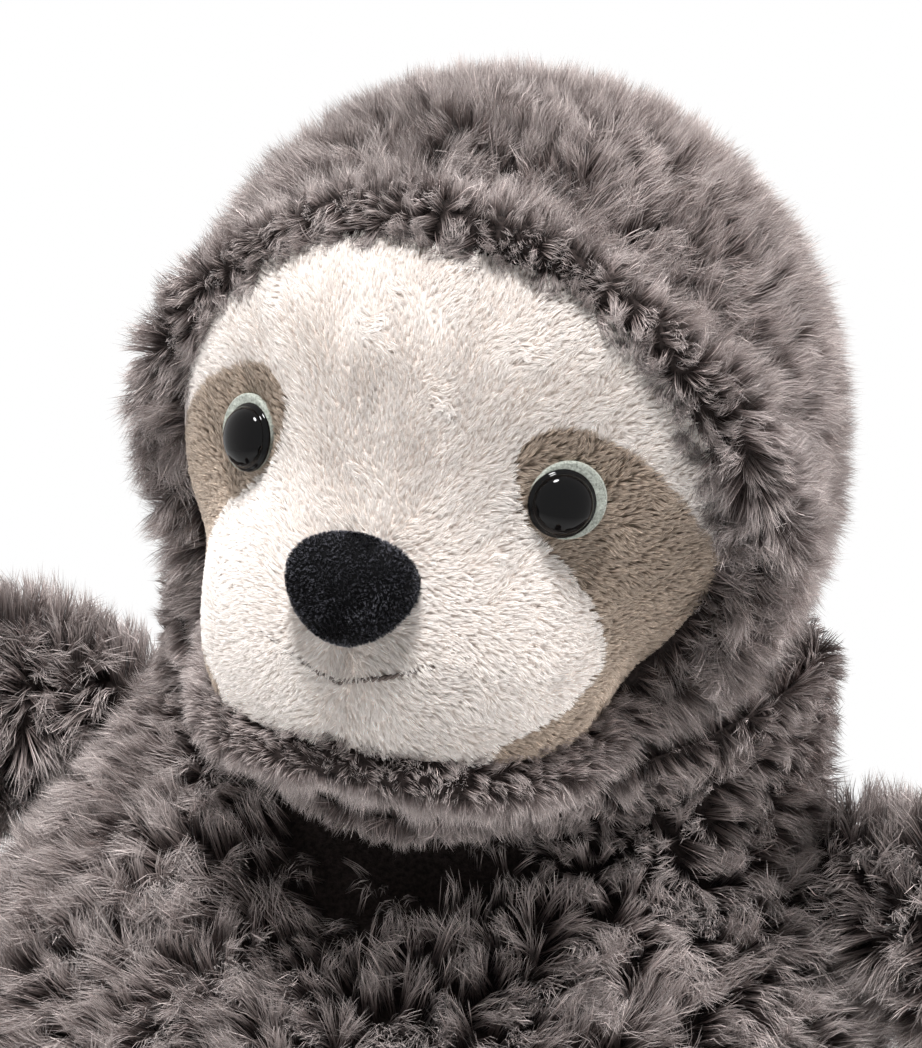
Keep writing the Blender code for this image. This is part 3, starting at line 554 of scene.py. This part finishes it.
def strand_pieces(name, strands, material, most=190000):
    """Tapered flat strands split into pieces of about most triangles or fewer, sorted round the toy.
    Tapered flat strands as pieces that stay small enough to hand over, sorted round the toy.
    """
    lines = strands["lines"]
    rows = len(strand_stops)
    middle = lines[:, 0].mean(0)
    order = np.argsort(np.arctan2(lines[:, 0, 0] - middle[0], lines[:, 0, 1] - middle[1]), kind="stable")
    faces_each = 2 * (rows - 2) + 1
    parts = max(math.ceil(len(order) * faces_each / most), 1)
    shape = []
    for k in range(rows - 2):
        shape += [(2 * k, 2 * k + 1, 2 * k + 3), (2 * k, 2 * k + 3, 2 * k + 2)]
    shape.append((2 * rows - 4, 2 * rows - 3, 2 * rows - 2))
    shape = np.array(shape)
    taper = 1 - 0.45 * strand_stops[:-1] ** 2
    heights = np.append(np.repeat(strand_stops[:-1], 2), 1.0)
    pieces = []
    for i, chosen in enumerate(np.array_split(order, parts)):
        line, across = lines[chosen], strands["across"][chosen][:, None]
        out = across * (strands["half"][chosen][:, None] * taper)[:, :, None]
        pairs = np.stack((line[:, :-1] - out, line[:, :-1] + out), 2).reshape(len(chosen), -1, 3)
        points = np.concatenate((pairs, line[:, -1:]), 1)
        per = points.shape[1]
        corners = (shape[None] + (np.arange(len(chosen)) * per)[:, None, None]).reshape(-1)
        mesh = bpy.data.meshes.new(f"{name}_{i + 1}")
        mesh.vertices.add(points.shape[0] * per)
        mesh.vertices.foreach_set("co", points.astype(np.float32).ravel())
        mesh.loops.add(len(corners))
        mesh.loops.foreach_set("vertex_index", corners.astype(np.int32))
        mesh.polygons.add(len(corners) // 3)
        mesh.polygons.foreach_set("loop_start", np.arange(0, len(corners), 3, dtype=np.int32))
        mesh.update(calc_edges=True)
        uv = mesh.uv_layers.new(name="OFBake")
        u = np.repeat(strands["tones"][chosen], shape.size)
        v = np.tile(heights[shape.reshape(-1)], len(chosen))
        uv.data.foreach_set("uv", np.stack((u, v), -1).astype(np.float32).ravel())
        mesh.materials.append(material)
        piece = bpy.data.objects.new(f"{name}_{i + 1}", mesh)
        bpy.context.scene.collection.objects.link(piece)
        pieces.append(piece)
    return pieces


def ride_all(pieces, body):
    """Pieces that move with one body."""
    for piece in pieces:
        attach(piece, body)


# The head

def head_skin():
    """The hood's cloth, finer than its pile's clumps."""
    turns = np.arange(240) * 360 / 240
    rings = []
    for tilt in np.linspace(-89, 89, 150):
        ways = direction(turns, np.full(240, tilt))
        rings.append(neck + ways * head_cloth_reach(ways)[:, None])
    ends = np.array((-up_axis, up_axis))
    return ringed(rings, *(neck + ends * head_cloth_reach(ends)[:, None]))


def make_head():
    """The hood, combed away from the face on its roll and hanging below."""
    skin = head_skin()
    ways = unit(skin.points - neck)
    away, edge, turn = round_face(ways)
    forward = smooth_step((0.02 - skin.points[:, 1]) / 0.02)
    skin.cover = smooth_step((away - edge + 1.0) / 1.5) * (0.72 + 0.28 * forward)
    skin.cover *= smooth_step((ways[:, 2] + 0.93) / 0.1)
    room = head_reach(ways) - np.linalg.norm(skin.points - neck, axis=1)
    outward = unit(ways - direction(*face_middle))
    on_roll = 1 - smooth_step((away - edge - 12) / 14)
    above = smooth_step((np.sin(turn) + 0.75) / 0.5)
    hanging = smooth_step((0.25 - ways[:, 2]) / 0.5) * (1 - on_roll)
    skin.comb = outward * (0.2 + 1.6 * on_roll * (1.05 - above))[:, None] - up_axis * (0.1 + 1.2 * hanging)[:, None]
    front = 1 - smooth_step((away - edge - 30) / 30)
    skin.wild = 0.25 + 0.2 * on_roll + above * (0.35 * on_roll + 0.35 * front) + 0.3 * hanging
    at_edge = (1 - smooth_step((away - edge - 1) / 7)) * (1 - 0.35 * above)
    skin.length = (room * (1.03 + 0.25 * hanging)).clip(0.0035, 0.0130)
    skin.length *= (1 - 0.6 * at_edge) * (1 - 0.4 * hanging * front)
    piece = piece_from(skin, "head_backing", backing)
    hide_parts("head_cover", "head_stuffing")
    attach(piece, "head")
    strands = grown(skin, 11, 10.5, 0.00012, tuft=8, tuft_radius=0.0006, lean=(3, 42), swirl=0.6, loose=1.3,
                    clump=0.0032, gather=0.55, tuft_gather=0.1, curl=0.17, uneven=0.5)
    ride_all(strand_pieces("head_fur", strands, long_pile), "head")


def make_face():
    """The cream face with the brown patches let in."""
    turns = 220
    outline = face_curve(turns)
    rings = []
    for share, drop in [(1.06, 0.0045), *[(share, 0.0017) for share in np.linspace(1.03, 0.01, 70)]]:
        ways = direction(*(outline * share + face_middle).T)
        rings.append(neck + ways * (face_reach(ways) - drop)[:, None])
    skin = ringed(rings, neck + direction(*face_middle) * 0.04, rings[-1].mean(0))
    low = skin.points[:, 2] < neck[2] - 0.014
    skin.points[:, 1] += 0.0013 * np.exp(-(skin.points[:, 0] / 0.0014) ** 2) * low
    skin = Skin(skin.points, skin.triangles[turns:])
    patch = closed_curve(patch_outline, 160)
    mirrored = patch * (-1, 1)
    middle = angles_of(unit(skin.points[skin.triangles].mean(1) - neck))
    patches = {"eye_patch_left": is_in(middle, patch), "eye_patch_right": is_in(middle, mirrored)}
    cream = ~(patches["eye_patch_left"] | patches["eye_patch_right"])
    look = (("face_panel", cream, cream_cloth), ("eye_patch_left", patches["eye_patch_left"], brown_cloth),
            ("eye_patch_right", patches["eye_patch_right"], brown_cloth))
    for name, chosen, material in look:
        used, corners = np.unique(skin.triangles[chosen], return_inverse=True)
        part = Skin(skin.points[used], corners.reshape(-1, 3))
        piece = piece_from(part, f"{name}_cloth", material)
        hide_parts(name)
        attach(piece, "head")

    nose_place = neck + direction(0.0, -5.0) * 0.066
    skin.length = np.full(len(skin.points), 0.0016)
    skin.comb = unit(skin.points - nose_place)
    split = skin.points[:, 0] / 0.004
    skin.comb[:, 0] += np.where(skin.points[:, 2] < nose_place[2], np.tanh(split) * 0.8, 0)
    away, edge, _ = round_face(unit(skin.points - neck))
    skin.cover = smooth_step((edge * 1.02 - away) / 1.0)
    strands = grown(skin, 23, 30.0, 0.00008, tuft=6, tuft_radius=0.00030, lean=(34, 70), swirl=0.35, loose=0.3,
                    clump=0.0010, gather=0.2, tuft_gather=0.3, curl=0.08, uneven=0.06, roll=0.1)
    roots = strands["lines"][:, 0]
    root_angles = angles_of(unit(roots - neck))
    brown = is_in(root_angles, patch) | is_in(root_angles, mirrored)
    clear = np.ones(len(roots), bool)
    for side in (1, -1):
        place, axis, _ = eye_frame(side)
        gone = roots - place
        off_axis = np.linalg.norm(gone - axis * (gone @ axis)[:, None], axis=1)
        clear &= off_axis > ring_radius - 0.0008
    for name, chosen, material, slot in (("face_pile", clear & ~brown, cream_pile, "short_pile_cream"),
                                         ("patch_pile", clear & brown, brown_pile, "short_pile_brown")):
        part = {key: value[chosen] for key, value in strands.items()}
        ride_all(strand_pieces(name, part, material), "head")


def eye_frame(side):
    """Where an eye's felt ring sits, the way it faces, and its dome's middle."""
    way = direction(side * eye_azimuth, eye_elevation)
    place = neck + way * face_reach(way[None, :])[0]
    axis = direction(side * eye_splay, eye_tilt)
    across, above = across_and_above(axis)
    return place + above * 0.0002, axis, place - across * 0.0010 * side - above * 0.0003


def turned(origin, axis, profile, sides=72):
    """A closed skin of revolution from pairs of distance along the axis and radius."""
    first, second = across_and_above(axis)
    turns = np.arange(sides) * 2 * math.pi / sides
    across = np.cos(turns)[:, None] * first + np.sin(turns)[:, None] * second
    rings = [origin + axis * far + across * radius for far, radius in profile]
    return ringed(rings, origin + axis * profile[0][0], origin + axis * profile[-1][0])


def make_eyes():
    """Domed safety eyes on felt rings."""
    for side, word in ((1, "left"), (-1, "right")):
        place, axis, centre = eye_frame(side)
        base, collar = 0.0002, 0.0006
        dome = [(-0.0095, 0.0019), (base - 0.0004, 0.0019), (base, eye_radius - 0.0004), (base + 0.0002, eye_radius),
                (base + 0.0006, eye_radius - 0.0001), (base + 0.0008, eye_radius - 0.0004)]
        for t in np.linspace(0.06, math.pi / 2, 26)[:-1]:
            dome.append((base + 0.0008 + 0.0027 * math.sin(t), (eye_radius - collar) * math.cos(t)))
        eye = piece_from(turned(centre, axis, dome), f"eye_dome_{word}", acrylic)
        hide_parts(f"eye_{word}")
        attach(eye, "head")
        edge, thick = ring_radius, 0.0005
        felt_profile = [(-0.0012, edge - 0.0006), (-0.0004, edge)]
        felt_profile += [(thick * math.sin(t), edge - 0.0004 + 0.0004 * math.cos(t))
                         for t in np.linspace(0, math.pi / 2, 6)]
        felt_profile.append((thick, 0.0022))
        ring = piece_from(turned(place, axis, felt_profile), f"eye_felt_{word}", felt)
        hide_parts(f"eye_ring_{word}")
        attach(ring, "head")


def nose_ring(place, axis, far, share, sides=96):
    """A rounded triangle, wide above and narrow below."""
    across, above = across_and_above(axis)
    turns = np.arange(sides) * 2 * math.pi / sides
    wide = 0.0118 * share * np.cos(turns) * (0.83 + 0.17 * np.sin(turns))
    high = 0.0083 * share * np.sin(turns)
    return place + axis * far + wide[:, None] * across + high[:, None] * above


def make_nose():
    """A moulded nose under black flock."""
    way = direction(0.0, -5.0)
    place = neck + way * face_reach(way[None, :])[0]
    axis = direction(0.0, 14.0)
    rings = [nose_ring(place, axis, -0.0045, 1.0), nose_ring(place, axis, -0.0015, 1.0)]
    for turn in np.linspace(0, math.pi / 2, 30)[:-1]:
        rings.append(nose_ring(place, axis, 0.0066 * math.sin(turn), math.cos(turn) ** 0.8))
    skin = ringed(rings, rings[0].mean(0), place + axis * 0.0066)
    piece = piece_from(skin, "nose_moulding", flock_ground)
    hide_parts("nose")
    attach(piece, "head")
    skin.length = np.full(len(skin.points), 0.00055)
    skin.cover = smooth_step(((skin.points - place) @ axis + 0.003) / 0.001)
    strands = grown(skin, 31, 26.0, 0.00009, tuft=5, tuft_radius=0.00025, lean=(5, 35), swirl=0.5, loose=0.8,
                    clump=0.0009, gather=0.15, tuft_gather=0.2, curl=0.2)
    ride_all(strand_pieces("nose_flock", strands, flock), "head")


def tube_rings(path, radii, sides):
    """Rings square to a path, without twist."""
    path = np.asarray(path)
    heading = unit(np.gradient(path, axis=0))
    across = across_and_above(heading[0])[0]
    turns = np.arange(sides) * 2 * math.pi / sides
    rings = []
    for point, way, radius in zip(path, heading, radii):
        across = unit(across - way * np.dot(across, way))
        round_way = np.cos(turns)[:, None] * across + np.sin(turns)[:, None] * np.cross(way, across)
        rings.append(point + radius * round_way)
    return rings


def make_mouth():
    """Embroidery thread laid in the pile, two plies twisted."""
    azimuths = np.linspace(-12.8, 12.8, 160)
    ways = direction(azimuths, -17.8 + 4.0 * np.abs(azimuths / 12.8) ** 0.75)
    sunk = 0.0011 + 0.0006 * (1 - np.exp(-((azimuths - 6.5) / 2.5) ** 2)) + 0.0009 * np.exp(-(azimuths / 1.5) ** 2)
    path = neck + ways * (face_reach(ways) - sunk)[:, None]
    skins = []
    for turn in (0.0, math.pi):
        twist = np.arange(160) * 0.55 + turn
        heading = unit(np.gradient(path, axis=0))
        side = np.cross(heading, ways)
        line = path + 0.00022 * (np.cos(twist)[:, None] * side + np.sin(twist)[:, None] * ways)
        skins.append(ringed(tube_rings(line, np.full(160, 0.00026), 8), line[0], line[-1]))
    points = np.concatenate([skin.points for skin in skins])
    triangles = np.concatenate((skins[0].triangles, skins[1].triangles + len(skins[0].points)))
    piece = piece_from(Skin(points, triangles), "mouth_thread", thread)
    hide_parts("mouth_stitch")
    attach(piece, "head")


# The body

def body_surface(inset):
    """Rings of the body's cloth, hollowed where the head sits."""
    sides = 200
    turns = np.arange(sides) * 2 * math.pi / sides
    heights = np.linspace(0.0012, body_height - inset, 120)
    rings = []
    sections = along(body_sections[:, 0], body_sections[:, 1:], heights / body_height)
    for height, (wide, deep, back) in zip(heights, sections):
        rings.append(np.stack((
            (wide * body_half_width - inset) * np.cos(turns),
            (deep * body_half_depth - inset) * np.sin(turns) - back * body_setback,
            np.full(sides, height)), -1))
    under = [rings[0].mean(0) + (rings[0] - rings[0].mean(0)) * share for share in np.linspace(0.05, 0.97, 20)]
    over = [rings[-1].mean(0) + (rings[-1] - rings[-1].mean(0)) * share for share in np.linspace(0.97, 0.05, 28)]
    rings = np.array(under + rings + over)
    # The head's weight presses the chest in under the chin
    x, y, z = np.moveaxis(rings, -1, 0)
    rings[..., 1] += 0.008 * np.exp(-(x / 0.045) ** 2 - ((z - 0.146) / 0.024) ** 2) * smooth_step(-y / 0.03)
    away = rings.reshape(-1, 3) - neck
    ways = unit(away)
    reach = np.linalg.norm(away, axis=1)
    seat = np.maximum(head_reach(ways) - 0.0010, hood_reach(ways) + 0.0010)
    pushed = np.where(reach < seat * 1.35, (reach ** 14 + seat ** 14) ** (1 / 14), reach)
    rings = (neck + ways * pushed[:, None]).reshape(rings.shape)
    return ringed(rings, rings[0].mean(0), rings[-1].mean(0))


def make_body():
    """The body's cover, with shorter pile where the head rests."""
    skin = body_surface(0.0075)
    ways = unit(skin.points - neck)
    reach = np.linalg.norm(skin.points - neck, axis=1)
    skin.cover = smooth_step((skin.points[:, 2] - 0.0014) / 0.004)
    skin.cover *= np.maximum(smooth_step((ways[:, 2] + 0.90) / 0.08), smooth_step((reach - 0.085) / 0.01))
    front = smooth_step((0.03 - skin.points[:, 1]) / 0.03) * smooth_step((skin.points[:, 2] - 0.06) / 0.03)
    skin.cover *= 0.66 + 0.34 * front
    clear_of_head = smooth_step((reach - head_reach(ways) - 0.002) / 0.026)
    skin.length = 0.0048 + 0.0048 * clear_of_head
    skin.comb = np.tile(-up_axis * 0.5, (len(skin.points), 1)) + (0.15, -0.15, 0.0) * np.sign(skin.points[:, :1])
    piece = piece_from(skin, "body_backing", backing)
    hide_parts("body_cover", "body_stuffing", "pellet_pouch")
    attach(piece, "torso")
    strands = grown(skin, 41, 6.6, 0.00015, tuft=8, tuft_radius=0.0006, lean=(4, 40), swirl=0.6, loose=1.2,
                    clump=0.0033, gather=0.55, tuft_gather=0.2, curl=0.16, uneven=0.5, floor=0.0006)
    ride_all(strand_pieces("body_fur", strands, long_pile), "torso")


# The limbs

def limb_line(root, size, path):
    """Places and thickness along a limb, evenly spaced."""
    knots = np.array([(*(root + np.array(size[:3]) * shares[:3]), size[3] * shares[3]) for shares in path])
    fine = along(np.arange(len(knots)), knots, np.linspace(0, len(knots) - 1, 200))
    travelled = np.concatenate(((0,), np.cumsum(np.linalg.norm(np.diff(fine[:, :3], axis=0), axis=1))))
    stops = np.linspace(0, travelled[-1], 70)
    return np.stack([np.interp(stops, travelled, fine[:, k]) for k in range(4)], -1)


def limb_skin(middle, inset):
    """The limb's cloth, round at both ends."""
    first_way = unit(middle[1, :3] - middle[0, :3])
    last_way = unit(middle[-1, :3] - middle[-2, :3])
    root, tip = middle[0, 3] - inset, middle[-1, 3] - inset
    caps = np.linspace(0.06, math.pi / 2, 12)[:-1]
    path = [middle[0, :3] - first_way * root * math.cos(b) for b in caps]
    radii = [root * math.sin(b) for b in caps]
    path += list(middle[:, :3])
    radii += list(middle[:, 3] - inset)
    reach = (middle[-1, 3] - inset) * tip_share
    path += [middle[-1, :3] + last_way * reach * math.sin(b) for b in caps[::-1].max() - caps[::-1]]
    radii += [tip * math.cos(b) for b in caps[::-1].max() - caps[::-1]]
    rings = np.array(tube_rings(path, np.maximum(radii, 0.0004), 72))
    rings[..., 2] = np.maximum(rings[..., 2], 0.0012)
    return ringed(rings, rings[0].mean(0), rings[-1].mean(0)), middle[-1, :3], last_way


def make_claws(limb, word, end, way, palm, reach, side):
    """Three stuffed cloth claws that curl towards the palm."""
    across = unit(np.cross(way, palm))
    palmwards = np.cross(across, way)
    total, bend = 0.026, math.radians(35)
    for i, place in enumerate((-1, 0, 1)):
        lean = math.radians(9) * place
        ahead = way * math.cos(lean) + across * math.sin(lean)
        start = end + across * 0.0095 * place + way * (reach * (1 - 0.3 * abs(place)) - 0.008)
        far = np.linspace(0, 1, 24)
        curl = bend * far[:, None]
        path = start + (ahead * np.sin(curl) + palmwards * (1 - np.cos(curl))) * total / bend
        radii = 0.0040 - 0.0026 * far ** 1.5
        tip_way = unit(path[-1] - path[-2])
        rounding = np.linspace(0, math.pi / 2, 6)[1:-1]
        path = np.concatenate((path, [path[-1] + tip_way * radii[-1] * math.sin(t) for t in rounding]))
        radii = np.concatenate((radii, [radii[-1] * math.cos(t) for t in rounding]))
        path[:, 0] *= side
        rings = np.array(tube_rings(path, radii, 28))
        skin = ringed(rings, path[0], path[-1] + unit(path[-1] - path[-2]) * 0.0002)
        piece = piece_from(skin, f"{limb}_claw_cloth_{word}_{i + 1}", calico)
        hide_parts(f"{limb}_claw_{word}_{i + 1}")
        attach(piece, f"{limb}_{word}")


def make_limb(limb, root, size, path, palm, seed):
    """Both arms or both legs: cloth, pile and claws, blended into the torso at the root."""
    middle = limb_line(root, size, path)
    skin, end, way = limb_skin(middle, 0.0065)
    body_centre = np.array((0.0, -0.015, root[2]))
    for side, word in ((1, "left"), (-1, "right")):
        points = skin.points * (side, 1, 1)
        triangles = skin.triangles[:, ::side]
        cloth = Skin(points, triangles)
        pivot = root * (side, 1, 1)
        out = np.linalg.norm(cloth.points - pivot, axis=1)
        inside = unit(pivot - body_centre)
        beyond = (cloth.points - pivot) @ inside
        cloth.cover = smooth_step((beyond + 0.004) / 0.006) * (1.0 if limb == "arm" else 0.8)
        cloth.length = np.full(len(points), 0.0092)
        heading = np.gradient(middle[:, :3], axis=0)
        near = np.argmin(((cloth.points * (side, 1, 1))[:, None] - middle[None, ::3, :3]) ** 2 @ np.ones(3), axis=1)
        cloth.comb = unit(heading[::3][near]) * (side, 1, 1) * 0.6 - up_axis * 0.25
        piece = piece_from(cloth, f"{limb}_backing_{word}", backing)
        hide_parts(f"{limb}_cover_{word}", f"{limb}_stuffing_{word}")
        strands = grown(cloth, seed + side, 5.4, 0.00018, tuft=8, tuft_radius=0.0006, lean=(4, 40), swirl=0.6,
                        loose=1.2, clump=0.0033, gather=0.55, tuft_gather=0.2, curl=0.16, uneven=0.5, floor=0.0006)
        pieces = strand_pieces(f"{limb}_fur_{word}", strands, long_pile)
        for part in (piece, *pieces):
            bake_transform(part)
        reach = middle[-1, 3] * tip_share
        make_claws(limb, word, end, way, palm, reach, side)


def make_washers():
    """The washers behind the fabric keep their CAD shape."""
    for name in ("eye_washer_left", "eye_washer_right", "nose_washer"):
        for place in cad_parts[name].material_slots:
            place.material = clear_plastic


def make_neck():
    """The plug of filling between the body's and the head's, which nothing shows."""
    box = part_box("neck_stuffing")
    low, high = np.array(box[0]), np.array(box[1])
    centre, half = (low + high) / 2, (high - low) / 2
    rings = []
    for t in np.linspace(-math.pi / 2, math.pi / 2, 20)[1:-1]:
        turns = np.arange(40) * 2 * math.pi / 40
        wide = np.abs(math.cos(t)) ** 0.5
        rings.append(centre + np.stack((half[0] * wide * np.cos(turns), half[1] * wide * np.sin(turns),
                                        np.full(40, half[2] * math.sin(t))), -1))
    skin = ringed(rings, centre - half * (0, 0, 1), centre + half * (0, 0, 1))
    piece = piece_from(skin, "neck_filling", filling)
    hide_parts("neck_stuffing")
    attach(piece, "neck")


# Stage, light and camera

def make_stage():
    """A plain pale floor that is white to the camera but for the toy's shadow."""
    material, tree, shader = new_material("matt_white_floor", Roughness=0.9)
    shader.inputs["Base Color"].default_value = linear("#f2f2f2")
    output = tree.nodes["Material Output"]
    place = add_node(tree, "ShaderNodeNewGeometry")
    far = add_node(tree, "ShaderNodeVectorMath", {0: place.outputs["Position"]}, operation="LENGTH")
    white_share = add_node(tree, "ShaderNodeMapRange", {0: far.outputs["Value"], 1: 0.22, 2: 0.42})
    ray = add_node(tree, "ShaderNodeLightPath")
    seen = add_node(tree, "ShaderNodeMath", {0: ray.outputs["Is Camera Ray"], 1: ray.outputs["Is Glossy Ray"]},
                    operation="MAXIMUM")
    share = add_node(tree, "ShaderNodeMath", {0: white_share.outputs[0], 1: seen.outputs[0]}, operation="MULTIPLY")
    white = add_node(tree, "ShaderNodeEmission", {"Color": (1, 1, 1, 1), "Strength": 1.0})
    mixed = add_node(tree, "ShaderNodeMixShader", {0: share.outputs[0], 1: shader.outputs[0], 2: white.outputs[0]})
    tree.links.new(mixed.outputs[0], output.inputs["Surface"])
    mesh = bpy.data.meshes.new("floor")
    mesh.from_pydata([(-4, -4, 0), (4, -4, 0), (4, 4, 0), (-4, 4, 0)], [], [(0, 1, 2, 3)])
    mesh.materials.append(material)
    floor = bpy.data.objects.new("floor", mesh)
    bpy.context.scene.collection.objects.link(floor)


def make_world(strength):
    """Even studio light, and white for the camera and for reflections."""
    world = bpy.data.worlds.new("studio")
    world.use_nodes = True
    tree = world.node_tree
    tree.nodes.clear()
    ray = add_node(tree, "ShaderNodeLightPath")
    seen = add_node(tree, "ShaderNodeMath", {0: ray.outputs["Is Camera Ray"], 1: ray.outputs["Is Glossy Ray"]},
                    operation="MAXIMUM")
    white = add_node(tree, "ShaderNodeMath", {0: seen.outputs[0], 1: ray.outputs["Is Transmission Ray"]},
                     operation="MAXIMUM")
    level = add_node(tree, "ShaderNodeMapRange", {0: white.outputs[0], 3: strength, 4: 1.0})
    back = add_node(tree, "ShaderNodeBackground", {"Color": (1, 1, 1, 1), "Strength": level.outputs[0]})
    output = add_node(tree, "ShaderNodeOutputWorld", {"Surface": back.outputs[0]})
    bpy.context.scene.world = world


# The photo's view of the head: turned and raised this much, with the camera rolled
azimuth, elevation, roll = map(math.radians, (18, 14, 7.605))
level_right = Vector((math.cos(azimuth), math.sin(azimuth), 0))
view_back = Vector((math.sin(azimuth) * math.cos(elevation), -math.cos(azimuth) * math.cos(elevation),
                    math.sin(elevation)))
level_up = view_back.cross(level_right)
view_right = level_right * math.cos(roll) + level_up * math.sin(roll)
view_up = level_up * math.cos(roll) - level_right * math.sin(roll)
head_middle = Vector((0, -0.022, 0.205))


def make_lamp(name, right, up, back, size, power):
    """A round soft box that faces the head, placed as the camera sees it."""
    light = bpy.data.lights.new(name, "AREA")
    light.shape = "DISK"
    light.size = size
    light.energy = power
    lamp = bpy.data.objects.new(name, light)
    bpy.context.scene.collection.objects.link(lamp)
    lamp.location = head_middle + view_right * right + view_up * up + view_back * back
    lamp.visible_glossy = name == "key"
    lamp.rotation_euler = (head_middle - lamp.location).to_track_quat("-Z", "Y").to_euler()


def make_camera():
    """The photo's view."""
    data = bpy.data.cameras.new("camera")
    data.lens, data.sensor_width, data.sensor_fit = 195, 36, "AUTO"
    camera = bpy.data.objects.new("camera", data)
    bpy.context.scene.collection.objects.link(camera)
    place = Matrix((view_right, view_up, view_back)).transposed().to_4x4()
    place.translation = head_middle - view_right * 0.0030 - view_up * 0.0152 + view_back * 0.90
    camera.matrix_world = place
    bpy.context.scene.camera = camera


make_camera()
make_stage()
make_world(0.04)
make_lamp("key", -0.12, 0.94, 0.55, 0.28, 21.5)
make_lamp("left_box", -0.95, 0.90, -0.50, 0.8, 19.0)
make_lamp("right_box", 1.15, 0.30, -0.20, 0.8, 29.0)
bpy.context.scene.view_settings.view_transform = "Standard"

make_head()
make_face()
make_eyes()
make_nose()
make_mouth()
make_body()
make_limb("arm", shoulder, arm_size, arm_path, -up_axis, 51)
make_limb("leg", hip, leg_size, leg_path, np.array((0.0, -1.0, 0.0)), 61)
make_neck()
make_washers()
